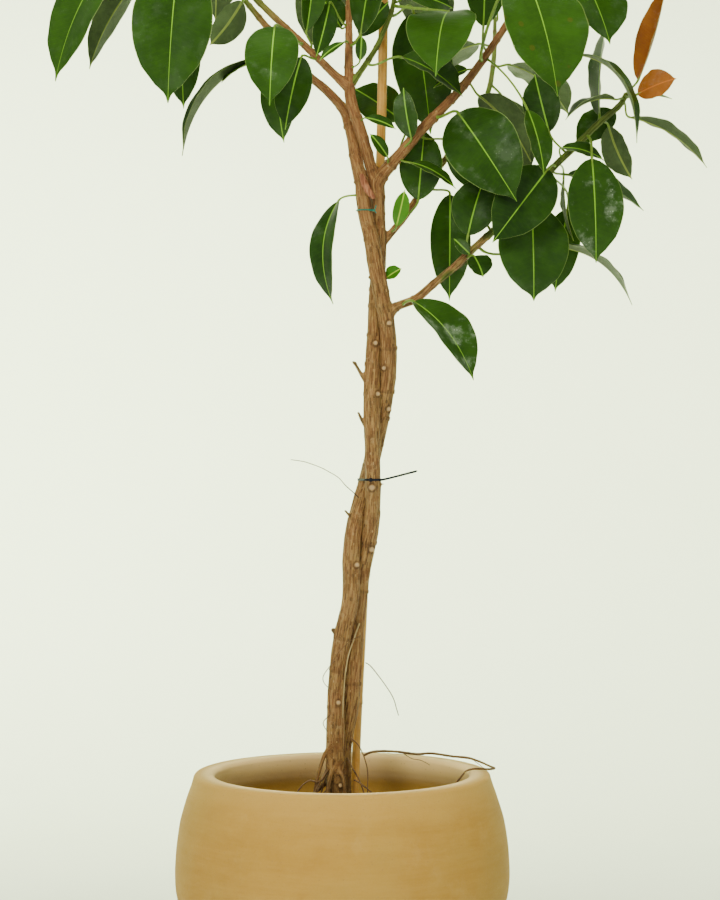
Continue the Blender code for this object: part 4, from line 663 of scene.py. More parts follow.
def group(name, inputs, outputs):
    """A new shader node group: its tree, its input sockets by name and its output node."""
    tree = bpy.data.node_groups.new(name, "ShaderNodeTree")
    kinds = {"value": "NodeSocketFloat", "vector": "NodeSocketVector", "colour": "NodeSocketColor"}
    for label, kind in inputs:
        tree.interface.new_socket(label, in_out="INPUT", socket_type=kinds[kind])
    for label, kind in outputs:
        tree.interface.new_socket(label, in_out="OUTPUT", socket_type=kinds[kind])
    return tree, tree.nodes.new("NodeGroupInput").outputs, tree.nodes.new("NodeGroupOutput")


def use_group(tree, name, inputs):
    made = tree.nodes.new("ShaderNodeGroup")
    made.node_tree = bpy.data.node_groups.get(name) or GROUPS[name]()
    for key, value in inputs.items():
        if isinstance(value, bpy.types.NodeSocket):
            tree.links.new(value, made.inputs[key])
        else:
            made.inputs[key].default_value = value
    return made.outputs


def mottle_group():
    """Broad clouds, finer clouds and grains, for anything with an uneven colour."""
    tree, given, result = group(
        "Mottle", [("Vector", "vector"), ("Scale", "value")], [("Clouds", "value"), ("Grain", "value")]
    )
    broad = noise_value(tree, given["Vector"], given["Scale"], 4.0, 0.6)
    fine_scale = maths(tree, "MULTIPLY", given["Scale"], 5.0)
    fine = noise_value(tree, given["Vector"], fine_scale, 4.0, 0.65)
    grain_scale = maths(tree, "MULTIPLY", given["Scale"], 60.0)
    grain = noise_value(tree, given["Vector"], grain_scale, 2.0, 0.6)
    clouds = maths(tree, "ADD", maths(tree, "MULTIPLY", broad, 0.65), maths(tree, "MULTIPLY", fine, 0.35))
    tree.links.new(mapped(tree, clouds, 0.36, 0.64), result.inputs["Clouds"])
    tree.links.new(grain, result.inputs["Grain"])
    return tree


def fibre_group():
    """Long fibres that run along a stem: the vector holds the two cross directions and the length."""
    tree, given, result = group(
        "Fibres", [("Vector", "vector"), ("Stretch", "value")], [("Ridges", "value"), ("Fine", "value")]
    )
    parts = axes(tree, given["Vector"])
    length = maths(tree, "MULTIPLY", parts["Z"], given["Stretch"])
    vector = node(
        tree, "ShaderNodeCombineXYZ", {"X": parts["X"], "Y": parts["Y"], "Z": length}
    ).outputs["Vector"]
    ridges = noise_value(tree, vector, 420.0, 4.0, 0.6)
    fine = noise_value(tree, vector, 1500.0, 3.0, 0.6)
    tree.links.new(mapped(tree, ridges, 0.36, 0.64), result.inputs["Ridges"])
    tree.links.new(fine, result.inputs["Fine"])
    return tree


def dust_group():
    """Flecks and water marks: a mask that grows with the amount."""
    tree, given, result = group("Dust", [("Vector", "vector"), ("Amount", "value")], [("Mask", "value")])
    clouds = noise_value(tree, given["Vector"], 30.0, 5.0, 0.7)
    dots = node(tree, "ShaderNodeTexVoronoi", {"Vector": given["Vector"], "Scale": 240.0}).outputs["Distance"]
    spots = mapped(tree, dots, 0.26, 0.14)
    patches = mapped(tree, clouds, 0.52, 0.66)
    both = maths(tree, "MAXIMUM", maths(tree, "MULTIPLY", spots, patches), maths(tree, "MULTIPLY", patches, 0.3))
    tree.links.new(maths(tree, "MULTIPLY", both, given["Amount"], clamp=True), result.inputs["Mask"])
    return tree


def vein_group():
    """Side veins of a leaf from the distance beside and along its midrib, in metres."""
    tree, given, result = group(
        "Leaf veins", [("Beside", "value"), ("Along", "value")], [("Veins", "value"), ("Netting", "value")]
    )
    beside = maths(tree, "ABSOLUTE", given["Beside"])
    slanted = maths(tree, "SUBTRACT", given["Along"], maths(tree, "MULTIPLY", beside, 0.42))
    wander = node(tree, "ShaderNodeCombineXYZ", {"X": given["Beside"], "Y": given["Along"]}).outputs["Vector"]
    bend = maths(tree, "MULTIPLY", noise_value(tree, wander, 60.0, 1.0), 0.0028)
    place = maths(tree, "ADD", slanted, bend)
    lines = []
    for spacing, sharpness in ((0.0068, 0.16), (0.0023, 0.3)):
        share = maths(tree, "FRACT", maths(tree, "DIVIDE", place, spacing))
        middle = maths(tree, "ABSOLUTE", maths(tree, "SUBTRACT", share, 0.5))
        lines.append(mapped(tree, middle, sharpness, 0.0))
    both = maths(tree, "ADD", maths(tree, "MULTIPLY", lines[0], 0.75), maths(tree, "MULTIPLY", lines[1], 0.25))
    tree.links.new(both, result.inputs["Veins"])
    netting = node(tree, "ShaderNodeTexVoronoi", {"Vector": wander, "Scale": 700.0}, feature="DISTANCE_TO_EDGE")
    tree.links.new(mapped(tree, netting.outputs["Distance"], 0.08, 0.0), result.inputs["Netting"])
    return tree


GROUPS = {"Mottle": mottle_group, "Fibres": fibre_group, "Dust": dust_group, "Leaf veins": vein_group}


def material(name, paint):
    """A material by name, made once by its paint function, which gets the tree and the Principled shader."""
    found = bpy.data.materials.get(name)
    if found:
        return found
    made = bpy.data.materials.new(name)
    made.use_nodes = True
    tree = made.node_tree
    paint(tree, tree.nodes["Principled BSDF"])
    return made


def connect(tree, shader, colour, roughness, height=None, strength=0.3, distance=0.0005):
    tree.links.new(colour, shader.inputs["Base Color"])
    if isinstance(roughness, bpy.types.NodeSocket):
        tree.links.new(roughness, shader.inputs["Roughness"])
    else:
        shader.inputs["Roughness"].default_value = roughness
    if height:
        bump = node(tree, "ShaderNodeBump", {"Height": height, "Strength": strength, "Distance": distance})
        tree.links.new(bump.outputs["Normal"], shader.inputs["Normal"])


# Materials


def paint_clay(tree, shader):
    place = object_place(tree)
    height = axes(tree, place)["Z"]
    mottle = use_group(tree, "Mottle", {"Vector": place, "Scale": 7.0})
    bands = use_group(tree, "Mottle", {"Vector": stretched(tree, place, (0.35, 0.35, 3.0)), "Scale": 16.0})
    clay, light = rgba(colours().clay), rgba(colours().clay_light)
    deep = rgba([value * share for value, share in zip(colours().clay, (0.86, 0.80, 0.66))])
    base = mixed(tree, maths(tree, "MULTIPLY", mottle["Clouds"], 0.8), deep, clay)
    base = mixed(tree, maths(tree, "MULTIPLY", bands["Clouds"], 0.30), base, light)
    lip = mapped(tree, height, POT_HEIGHT * 0.86, POT_HEIGHT * 0.985)
    base = mixed(tree, maths(tree, "MULTIPLY", lip, 0.55), base, light)
    parts = axes(tree, place)
    reach = maths(tree, "SQRT", maths(tree, "ADD", maths(tree, "POWER", parts["X"], 2.0), maths(tree, "POWER", parts["Y"], 2.0)))
    hollow = mapped(tree, reach, BELLY_RADIUS * 0.86, BELLY_RADIUS * 0.80)
    base = mixed(tree, maths(tree, "MULTIPLY", hollow, 0.9), base, rgba((0.80, 0.56, 0.24)))
    aged = mapped(tree, noise_value(tree, place, 4.5, 4.0, 0.6), 0.40, 0.66)
    base = mixed(tree, maths(tree, "MULTIPLY", aged, 0.35), base, rgba((0.36, 0.235, 0.050)))
    specks = node(tree, "ShaderNodeTexVoronoi", {"Vector": place, "Scale": 130.0}).outputs["Distance"]
    dark = maths(tree, "MULTIPLY", mapped(tree, specks, 0.16, 0.06), 0.35)
    base = mixed(tree, dark, base, rgba((0.27, 0.14, 0.06)))
    bloom = mapped(tree, noise_value(tree, place, 11.0, 5.0, 0.7), 0.56, 0.72)
    base = mixed(tree, maths(tree, "MULTIPLY", bloom, 0.16), base, rgba((0.62, 0.42, 0.14)))
    rough = mapped(tree, mottle["Grain"], 0.2, 0.8, 0.72, 0.92)
    relief = maths(tree, "ADD", mottle["Grain"], maths(tree, "MULTIPLY", bands["Clouds"], 0.4))
    connect(tree, shader, base, rough, relief, 0.35, 0.0006)


def paint_soil(tree, shader):
    place = object_place(tree)
    mottle = use_group(tree, "Mottle", {"Vector": place, "Scale": 45.0})
    soil = rgba(colours().soil)
    light = rgba([value * 2.6 for value in colours().soil])
    base = mixed(tree, mottle["Clouds"], soil, light)
    fibres = node(tree, "ShaderNodeTexVoronoi", {"Vector": place, "Scale": 380.0}).outputs["Distance"]
    base = mixed(tree, mapped(tree, fibres, 0.22, 0.08), base, rgba((0.13, 0.075, 0.035)))
    relief = maths(tree, "ADD", mottle["Grain"], mottle["Clouds"])
    connect(tree, shader, base, mapped(tree, mottle["Grain"], 0.2, 0.8, 0.8, 0.98), relief, 0.8, 0.0015)


def paint_chip(tree, shader):
    place = object_place(tree)
    fibres = use_group(tree, "Fibres", {"Vector": place, "Stretch": 0.3})
    base = mixed(tree, fibres["Ridges"], rgba((0.055, 0.030, 0.016)), rgba((0.20, 0.11, 0.055)))
    connect(tree, shader, base, mapped(tree, fibres["Fine"], 0.2, 0.8, 0.75, 0.95), fibres["Ridges"], 0.5, 0.0008)


def paint_grit(tree, shader):
    mottle = use_group(tree, "Mottle", {"Vector": object_place(tree), "Scale": 90.0})
    base = mixed(tree, mottle["Clouds"], rgba((0.42, 0.39, 0.33)), rgba((0.70, 0.67, 0.60)))
    connect(tree, shader, base, 0.85, mottle["Grain"], 0.5, 0.0004)


def paint_bark(tree, shader):
    grain = attribute(tree, "grain").outputs["Vector"]
    marks = axes(tree, attribute(tree, "marks").outputs["Vector"])
    fibres = use_group(tree, "Fibres", {"Vector": grain, "Stretch": 0.10})
    place = object_place(tree)
    mottle = use_group(tree, "Mottle", {"Vector": place, "Scale": 38.0})
    bark, light = rgba(colours().bark), rgba(colours().bark_light)
    dark = rgba([value * 0.30 for value in colours().bark])
    base = mixed(tree, fibres["Ridges"], bark, light)
    cracks = mapped(tree, noise_value(tree, stretched(tree, grain, (1.0, 1.0, 0.13)), 560.0, 3.0, 0.6), 0.49, 0.36)
    base = mixed(tree, maths(tree, "MULTIPLY", cracks, 0.85), base, dark)
    base = mixed(tree, mapped(tree, fibres["Fine"], 0.46, 0.30), base, dark)
    red = maths(tree, "MULTIPLY", mapped(tree, mottle["Clouds"], 0.35, 0.8), 0.5)
    base = mixed(tree, red, base, mixed(tree, fibres["Ridges"], rgba((0.14, 0.055, 0.018)), rgba((0.33, 0.165, 0.06))))
    warm = mapped(tree, axes(tree, place)["Z"], 0.98, 1.26)
    base = mixed(tree, maths(tree, "MULTIPLY", warm, 0.45), base, rgba((0.27, 0.105, 0.04)))
    pale = mapped(tree, noise_value(tree, place, 70.0, 4.0, 0.7), 0.58, 0.70)
    base = mixed(tree, maths(tree, "MULTIPLY", pale, 0.4), base, rgba((0.46, 0.31, 0.13)))
    dashes = noise_value(tree, stretched(tree, grain, (0.5, 0.5, 2.2)), 420.0, 2.0, 0.5)
    base = mixed(tree, maths(tree, "MULTIPLY", mapped(tree, dashes, 0.66, 0.74), 0.7), base, rgba((0.52, 0.34, 0.14)))
    young = mixed(tree, fibres["Ridges"], rgba((0.045, 0.085, 0.010)), rgba((0.12, 0.19, 0.025)))
    base = mixed(tree, marks["Y"], base, young)
    base = mixed(tree, marks["Z"], base, dark)
    base = mixed(tree, maths(tree, "MULTIPLY", mapped(tree, axes(tree, place)["Z"], 0.36, 0.29), 0.6), base, dark)
    end = mixed(tree, mottle["Grain"], rgba(colours().scar), rgba((0.56, 0.40, 0.20)))
    base = mixed(tree, marks["X"], base, end)
    relief = maths(tree, "ADD", fibres["Ridges"], maths(tree, "MULTIPLY", fibres["Fine"], 0.6))
    relief = maths(tree, "SUBTRACT", relief, cracks)
    rough = mapped(tree, fibres["Ridges"], 0.0, 1.0, 0.82, 0.62)
    connect(tree, shader, base, rough, relief, 0.7, 0.0009)


def paint_bamboo(tree, shader):
    grain = attribute(tree, "grain").outputs["Vector"]
    marks = axes(tree, attribute(tree, "marks").outputs["Vector"])
    fibres = use_group(tree, "Fibres", {"Vector": grain, "Stretch": 0.03})
    mottle = use_group(tree, "Mottle", {"Vector": object_place(tree), "Scale": 20.0})
    deep = rgba([value * share for value, share in zip(colours().bamboo, (0.72, 0.62, 0.5))])
    base = mixed(tree, fibres["Ridges"], deep, rgba(colours().bamboo))
    base = mixed(tree, maths(tree, "MULTIPLY", mottle["Clouds"], 0.35), base, rgba((0.68, 0.46, 0.19)))
    base = mixed(tree, maths(tree, "MULTIPLY", marks["X"], 0.75), base, rgba((0.23, 0.115, 0.045)))
    rough = mapped(tree, fibres["Fine"], 0.2, 0.8, 0.36, 0.52)
    connect(tree, shader, base, rough, fibres["Ridges"], 0.25, 0.0003)


def paint_root(tree, shader):
    grain = attribute(tree, "grain").outputs["Vector"]
    fibres = use_group(tree, "Fibres", {"Vector": grain, "Stretch": 0.15})
    mottle = use_group(tree, "Mottle", {"Vector": object_place(tree), "Scale": 60.0})
    dark = rgba([value * 0.4 for value in colours().root])
    base = mixed(tree, fibres["Ridges"], dark, rgba(colours().root))
    base = mixed(tree, maths(tree, "MULTIPLY", mottle["Clouds"], 0.4), base, rgba((0.30, 0.19, 0.09)))
    connect(tree, shader, base, mapped(tree, fibres["Fine"], 0.2, 0.8, 0.7, 0.9), fibres["Ridges"], 0.6, 0.0005)


def paint_pale_root(tree, shader):
    grain = attribute(tree, "grain").outputs["Vector"]
    fibres = use_group(tree, "Fibres", {"Vector": grain, "Stretch": 0.12})
    base = mixed(tree, fibres["Ridges"], rgba((0.24, 0.16, 0.06)), rgba((0.50, 0.38, 0.17)))
    connect(tree, shader, base, mapped(tree, fibres["Fine"], 0.2, 0.8, 0.6, 0.8), fibres["Ridges"], 0.4, 0.0004)


def paint_hair_root(tree, shader):
    mottle = use_group(tree, "Mottle", {"Vector": object_place(tree), "Scale": 70.0})
    base = mixed(tree, mottle["Clouds"], rgba((0.028, 0.017, 0.010)), rgba((0.075, 0.042, 0.020)))
    connect(tree, shader, base, 0.8, mottle["Grain"], 0.4, 0.0003)


def paint_wire(tree, shader):
    mottle = use_group(tree, "Mottle", {"Vector": object_place(tree), "Scale": 120.0})
    base = mixed(tree, mottle["Clouds"], rgba(colours().wire), rgba([value * 1.7 for value in colours().wire]))
    connect(tree, shader, base, mapped(tree, mottle["Grain"], 0.2, 0.8, 0.34, 0.5), mottle["Grain"], 0.2, 0.0002)


def paint_strap(tree, shader):
    mottle = use_group(tree, "Mottle", {"Vector": object_place(tree), "Scale": 90.0})
    base = mixed(tree, mottle["Clouds"], rgba(colours().strap), rgba([value * 2.2 for value in colours().strap]))
    connect(tree, shader, base, mapped(tree, mottle["Grain"], 0.2, 0.8, 0.42, 0.6), mottle["Grain"], 0.15, 0.0002)
    shader.inputs["Specular IOR Level"].default_value = 0.2


def paint_sheath(tree, shader):
    fibres = use_group(tree, "Fibres", {"Vector": object_place(tree), "Stretch": 0.08})
    base = mixed(tree, fibres["Ridges"], rgba((0.16, 0.050, 0.022)), rgba((0.42, 0.17, 0.08)))
    connect(tree, shader, base, 0.62, fibres["Ridges"], 0.5, 0.0005)


def leaf_coordinates(tree):
    """Beside, along and across of a leaf's own place, and its brightness, dust and spots."""
    place = axes(tree, attribute(tree, "leaf_place").outputs["Vector"])
    look = axes(tree, attribute(tree, "leaf_look").outputs["Vector"])
    return place["X"], place["Y"], place["Z"], look["X"], look["Y"], look["Z"]


def midrib_mask(tree, beside, along, wide):
    narrowing = mapped(tree, along, 0.0, 0.18, wide, wide * 0.3)
    return mapped(tree, maths(tree, "ABSOLUTE", beside), maths(tree, "MULTIPLY", narrowing, 1.5), narrowing)


def paint_upper(kind):
    def paint(tree, shader):
        beside, along, across, bright, dust, spots = leaf_coordinates(tree)
        veins = use_group(tree, "Leaf veins", {"Beside": beside, "Along": along})
        place = object_place(tree)
        mottle = use_group(tree, "Mottle", {"Vector": place, "Scale": 26.0})
        dark, light, midrib, edge = [rgba(colour) for colour in upper_colours(kind)]
        tone = maths(tree, "ADD", maths(tree, "MULTIPLY", mottle["Clouds"], 0.25), bright, clamp=True)
        base = mixed(tree, tone, dark, light)
        base = mixed(tree, maths(tree, "MULTIPLY", veins["Veins"], 0.12), base, light)
        rib = midrib_mask(tree, beside, along, 0.00085)
        base = mixed(tree, maths(tree, "MULTIPLY", rib, 0.92), base, midrib)
        margin = mapped(tree, across, 0.972, 0.994)
        base = mixed(tree, maths(tree, "MULTIPLY", margin, 0.75), base, edge)
        marks = use_group(tree, "Dust", {"Vector": place, "Amount": dust})["Mask"]
        base = mixed(tree, marks, base, rgba((0.36, 0.44, 0.30)))
        blotch = node(tree, "ShaderNodeTexVoronoi", {"Vector": place, "Scale": 42.0}).outputs["Distance"]
        burnt = maths(tree, "MULTIPLY", mapped(tree, blotch, 0.20, 0.13), spots, clamp=True)
        base = mixed(tree, burnt, base, rgba((0.20, 0.075, 0.018)))
        sheen = mapped(tree, mottle["Clouds"], 0.0, 1.0, 0.32, 0.44)
        rough = maths(tree, "ADD", sheen, maths(tree, "MULTIPLY", marks, 0.3))
        relief = maths(tree, "SUBTRACT", maths(tree, "MULTIPLY", veins["Netting"], 0.12), veins["Veins"])
        connect(tree, shader, base, rough, relief, 0.20, 0.0006)
        shader.inputs["Coat Weight"].default_value = 0.10
        shader.inputs["Coat Roughness"].default_value = 0.20
        shader.inputs["Specular IOR Level"].default_value = 0.30

    return paint


def upper_colours(kind):
    """Dark, light, midrib and margin colours of a leaf's upper side."""
    if kind == "young":
        return colours().young, (0.34, 0.135, 0.018), (0.40, 0.12, 0.02), (0.26, 0.16, 0.03)
    if kind == "fresh":
        return (0.028, 0.125, 0.004), (0.085, 0.26, 0.008), (0.36, 0.56, 0.05), (0.28, 0.42, 0.08)
    return colours().leaf, colours().leaf_light, colours().midrib, (0.20, 0.30, 0.07)


def paint_lower(kind):
    def paint(tree, shader):
        beside, along, across, bright, dust, spots = leaf_coordinates(tree)
        veins = use_group(tree, "Leaf veins", {"Beside": beside, "Along": along})
        place = object_place(tree)
        mottle = use_group(tree, "Mottle", {"Vector": place, "Scale": 30.0})
        young = kind == "young"
        under = rgba((0.24, 0.085, 0.014) if young else colours().underside)
        pale = rgba((0.32, 0.14, 0.03) if young else (0.075, 0.115, 0.040))
        base = mixed(tree, mottle["Clouds"], under, pale)
        base = mixed(tree, maths(tree, "MULTIPLY", veins["Netting"], 0.35), base, rgba((0.045, 0.08, 0.025)))
        rib = midrib_mask(tree, beside, along, 0.0015)
        base = mixed(tree, maths(tree, "MULTIPLY", rib, 0.85), base, rgba((0.24, 0.31, 0.06)))
        relief = maths(tree, "ADD", veins["Veins"], maths(tree, "MULTIPLY", veins["Netting"], 0.3))
        connect(tree, shader, base, mapped(tree, mottle["Grain"], 0.2, 0.8, 0.5, 0.66), relief, 0.3, 0.0005)
        shader.inputs["Specular IOR Level"].default_value = 0.2

    return paint


def paint_margin(tree, shader):
    mottle = use_group(tree, "Mottle", {"Vector": object_place(tree), "Scale": 60.0})
    base = mixed(tree, mottle["Clouds"], rgba((0.17, 0.25, 0.05)), rgba((0.28, 0.36, 0.10)))
    connect(tree, shader, base, 0.45, mottle["Grain"], 0.1, 0.0002)


def paint_stalk(tree, shader):
    place = object_place(tree)
    mottle = use_group(tree, "Mottle", {"Vector": place, "Scale": 55.0})
    base = mixed(tree, mottle["Clouds"], rgba(colours().twig), rgba((0.19, 0.30, 0.035)))
    streaks = noise_value(tree, stretched(tree, place, (1.0, 1.0, 0.15)), 500.0, 2.0)
    base = mixed(tree, maths(tree, "MULTIPLY", mapped(tree, streaks, 0.5, 0.7), 0.3), base, rgba((0.22, 0.13, 0.05)))
    connect(tree, shader, base, mapped(tree, mottle["Grain"], 0.2, 0.8, 0.38, 0.52), mottle["Grain"], 0.2, 0.0003)


def paint_twig(tree, shader):
    grain = attribute(tree, "grain").outputs["Vector"]
    marks = axes(tree, attribute(tree, "marks").outputs["Vector"])
    fibres = use_group(tree, "Fibres", {"Vector": grain, "Stretch": 0.10})
    mottle = use_group(tree, "Mottle", {"Vector": object_place(tree), "Scale": 45.0})
    base = mixed(tree, fibres["Ridges"], rgba(colours().twig), rgba((0.17, 0.25, 0.045)))
    base = mixed(tree, maths(tree, "MULTIPLY", mottle["Clouds"], 0.45), base, rgba((0.30, 0.20, 0.09)))
    base = mixed(tree, marks["X"], base, rgba((0.16, 0.09, 0.04)))
    base = mixed(tree, marks["Z"], base, rgba((0.42, 0.10, 0.035)))
    connect(tree, shader, base, mapped(tree, fibres["Fine"], 0.2, 0.8, 0.42, 0.58), fibres["Ridges"], 0.35, 0.0004)


def paint_floor(tree, shader):
    mottle = use_group(tree, "Mottle", {"Vector": object_place(tree), "Scale": 1.2})
    base = mixed(tree, maths(tree, "MULTIPLY", mottle["Clouds"], 0.5), rgba((0.79, 0.83, 0.72)), rgba((0.83, 0.86, 0.76)))
    connect(tree, shader, base, 0.7)


# Routes


def lifted(x, y, z):
    """Metres in the plant's frame, which moves up and down with the soil."""
    return Vector((x * CM, y * CM, z * CM + SOIL_TOP - ROUTE_SOIL_LEVEL))


def between(before, start, end, after, t):
    """The row a share t of the way from start to end on a Catmull-Rom curve."""
    return tuple(
        0.5 * (2 * b + (c - a) * t + (2 * a - 5 * b + 4 * c - d) * t**2 + (3 * b - a - 3 * c + d) * t**3)
        for a, b, c, d in zip(before, start, end, after)
    )


def smooth(rows, step):
    """Rows about a step apart, measured on their first three numbers, on a smooth curve through rows."""
    result = []
    for index in range(len(rows) - 1):
        before, after = rows[max(index - 1, 0)], rows[min(index + 2, len(rows) - 1)]
        start, end = rows[index], rows[index + 1]
        count = max(1, round(math.dist(start[:3], end[:3]) / step))
        result += [between(before, start, end, after, part / count) for part in range(count)]
    return result + [tuple(rows[-1])]


def twined_stems():
    """The two stems' routes over their twined length: rows of x, y, z and radius."""
    front, rear = [], []
    for height, middle, gap, angle, front_radius, rear_radius in smooth(TWINE, TWINE_STEP):
        half = (front_radius + rear_radius + gap) / 2
        across = half * math.cos(math.radians(angle))
        along = half * math.sin(math.radians(angle))
        front.append((middle - across, -along, height, front_radius))
        rear.append((middle + across, along, height, rear_radius))
    return front, rear


def along_route(route, height):
    """x, y and radius of a rising route where it passes a height."""
    for start, end in zip(route, route[1:]):
        if start[2] <= height <= end[2]:
            share = (height - start[2]) / (end[2] - start[2])
            return [a + (b - a) * share for a, b in ((start[0], end[0]), (start[1], end[1]), (start[3], end[3]))]
    raise ValueError(f"the route doesn't pass {height} cm")


def heading(route, height):
    """The direction of a rising route where it passes a height."""
    for start, end in zip(route, route[1:]):
        if start[2] <= height <= end[2]:
            return (Vector(end[:3]) - Vector(start[:3])).normalized()
    raise ValueError(f"the route doesn't pass {height} cm")


def shoot_route(limb, rows):
    """A young twig's route: it starts a small gap beyond the end of its limb and first runs straight on."""
    end = Vector(limb[-1][:3])
    ahead = (end - Vector(limb[-2][:3])).normalized()
    radius = limb[-1][3]
    start = end + ahead * GAP / CM
    first = start + ahead
    return smooth([(*start, radius), (*first, radius), *rows], LIMB_STEP)


def all_routes():
    """Every stem, limb and twig that carries leaves, by name."""
    front, rear = twined_stems()
    routes = {
        "front_stem": front + smooth([front[-1], *FRONT_STEM_END], LIMB_STEP)[1:],
        "rear_stem": rear + smooth([rear[-1], *REAR_STEM_END], LIMB_STEP)[1:],
        "left_fork": smooth(LEFT_FORK, LIMB_STEP),
        "left_limb": smooth(LEFT_LIMB, LIMB_STEP),
        "thin_twig": smooth(THIN_TWIG, LIMB_STEP),
        "rear_limb": smooth(REAR_LIMB, LIMB_STEP),
        "low_limb": smooth(LOW_LIMB, LIMB_STEP),
    }
    for name, (limb, rows) in SHOOTS.items():
        routes[name] = shoot_route(routes[limb], rows)
    return routes


def runner_rows():
    """The runner root's route, which follows the rim where it crosses it."""
    lip_outer = BELLY_RADIUS * POT_SIDE[-1][0] / CM
    lip_inner = lip_outer - LIP_WIDTH / CM
    rim_top = (POT_HEIGHT - SOIL_TOP + ROUTE_SOIL_LEVEL) / CM
    over = [(lip_outer + x, y, rim_top + z, radius) for x, y, z, radius in RUNNER_OVER_RIM]
    inside = [(lip_inner + x, y, rim_top + z, radius) for x, y, z, radius in RUNNER_INSIDE_RIM]
    x, y, z, radius = RUNNER_END
    return [*RUNNER_OVER_SOIL, *over, *inside, (lip_inner + x, y, z, radius)]


def front_of_stems(routes, x, z):
    """The depth of the stems' front face at a place."""
    depths = []
    for name in ("front_stem", "rear_stem"):
        middle, depth, radius = along_route(routes[name], z)
        if abs(x - middle) < radius:
            depths.append(depth - math.sqrt(radius**2 - (x - middle) ** 2))
    return min(depths) if depths else 0.0


def clinging_rows(routes):
    clearance = CLINGING_ROOT_RADIUS + GAP / CM
    rows = []
    for x, z, _ in smooth([(x, z, 0.0) for x, z in CLINGING_ROOT], CLINGING_ROOT_STEP):
        near = [front_of_stems(routes, x + across, z + up) for across, up in CLINGING_ROOT_PROBES]
        rows.append((x, min(near) - clearance, z, CLINGING_ROOT_RADIUS))
    return rows


# Mesh helpers


def mesh_piece(name, verts, faces, materials, slot, replaced=(), indices=None, attributes=None, uv=None):
    """A shaded mesh object that rides on the root body, with one material index for each face."""
    mesh = bpy.data.meshes.new(name)
    mesh.from_pydata([tuple(vert) for vert in verts], [], faces)
    for made in materials:
        mesh.materials.append(made)
    if indices:
        mesh.polygons.foreach_set("material_index", indices)
    add_attributes(mesh, attributes)
    if uv:
        layer = mesh.uv_layers.new(name="Surface")
        for corner in mesh.loops:
            layer.data[corner.index].uv = uv[corner.vertex_index]
    mesh.validate()
    mesh.shade_smooth()
    piece = bpy.data.objects.new(name, mesh)
    return adopt(piece, slot, replaced)


def add_attributes(mesh, attributes):
    for label, values in (attributes or {}).items():
        layer = mesh.attributes.new(label, "FLOAT_VECTOR", "POINT")
        layer.data.foreach_set("vector", [part for value in values for part in value])


def adopt(piece, slot, replaced=()):
    if not piece.users_collection:
        bpy.context.scene.collection.objects.link(piece)
    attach(piece, "root")
    if replaced:
        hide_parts(*replaced)
    return piece


def path_frames(points):
    """Forward, side and up directions along a path, turned as little as possible."""
    count = len(points)
    ahead = [(points[min(i + 1, count - 1)] - points[max(i - 1, 0)]).normalized() for i in range(count)]
    start = Vector((0, 0, 1)) if abs(ahead[0].z) < 0.9 else Vector((1, 0, 0))
    side = ahead[0].cross(start).normalized()
    frames = []
    for forward in ahead:
        side = (side - side.dot(forward) * forward).normalized()
        frames.append((forward, side, forward.cross(side)))
    return frames


def tube_parts(rows, sides, shape=None):
    """A closed round tube along centimetre rows: vertices, faces and, for each vertex, its grain.

    The grain holds the two cross directions times the radius, and the distance along the tube.
    shape(distance, angle, radius) may change the radius, all in metres.
    """
    points = [lifted(*row[:3]) for row in rows]
    radii = [row[3] * CM for row in rows]
    frames = path_frames(points)
    verts, grain, faces = [], [], []
    distance = 0.0
    for index, (point, radius, (_, side, up)) in enumerate(zip(points, radii, frames)):
        distance += (point - points[index - 1]).length if index else 0.0
        for corner in range(sides):
            angle = 2 * math.pi * corner / sides
            reach = shape(distance, angle, radius) if shape else radius
            out = side * math.cos(angle) + up * math.sin(angle)
            verts.append(point + out * reach)
            grain.append((math.cos(angle) * radius, math.sin(angle) * radius, distance))
    for row in range(len(points) - 1):
        for corner in range(sides):
            after = (corner + 1) % sides
            base = row * sides
            faces.append((base + corner, base + after, base + sides + after, base + sides + corner))
    for end, forward in ((0, -frames[0][0]), (len(points) - 1, frames[-1][0])):
        ring = list(range(end * sides, end * sides + sides))
        dome = radii[end] * 0.35
        pole = len(verts)
        verts.append(points[end] + forward * dome)
        grain.append((0.0, 0.0, grain[ring[0]][2]))
        for corner in range(sides):
            pair = (ring[corner], ring[(corner + 1) % sides])
            faces.append((pole, *(pair[::-1] if end == 0 else pair)))
    return verts, faces, grain


def joined(parts):
    """Several (vertices, faces, grain) sets as one."""
    verts, faces, grain = [], [], []
    for new_verts, new_faces, new_grain in parts:
        offset = len(verts)
        verts += new_verts
        grain += new_grain
        faces += [tuple(index + offset for index in face) for face in new_faces]
    return verts, faces, grain


def spread(value, low, high):
    """0 below low, 1 above high, and a smooth step between."""
    share = min(max((value - low) / (high - low), 0.0), 1.0)
    return share * share * (3 - 2 * share)


# Pot and soil


def pot_side(height):
    """The pot's outer radius at a height."""
    rows = smooth(POT_SIDE, 0.02)
    share = height / POT_HEIGHT
    for start, end in zip(rows, rows[1:]):
        if start[1] <= share <= end[1]:
            inside = (share - start[1]) / (end[1] - start[1])
            return BELLY_RADIUS * (start[0] + (end[0] - start[0]) * inside)
    return BELLY_RADIUS * rows[-1][0]


def pot_bore(height):
    """The radius of the pot's hollow at a height: the wall's inner face, drawn in to the lip."""
    lip_radius = BELLY_RADIUS * POT_SIDE[-1][0] - LIP_WIDTH
    lip_start = POT_HEIGHT - LIP_HEIGHT - LIP_ROUNDING
    ease = spread(height, lip_start, lip_start + LIP_HEIGHT)
    wall_radius = pot_side(height) - POT_WALL
    return wall_radius + (lip_radius - wall_radius) * ease


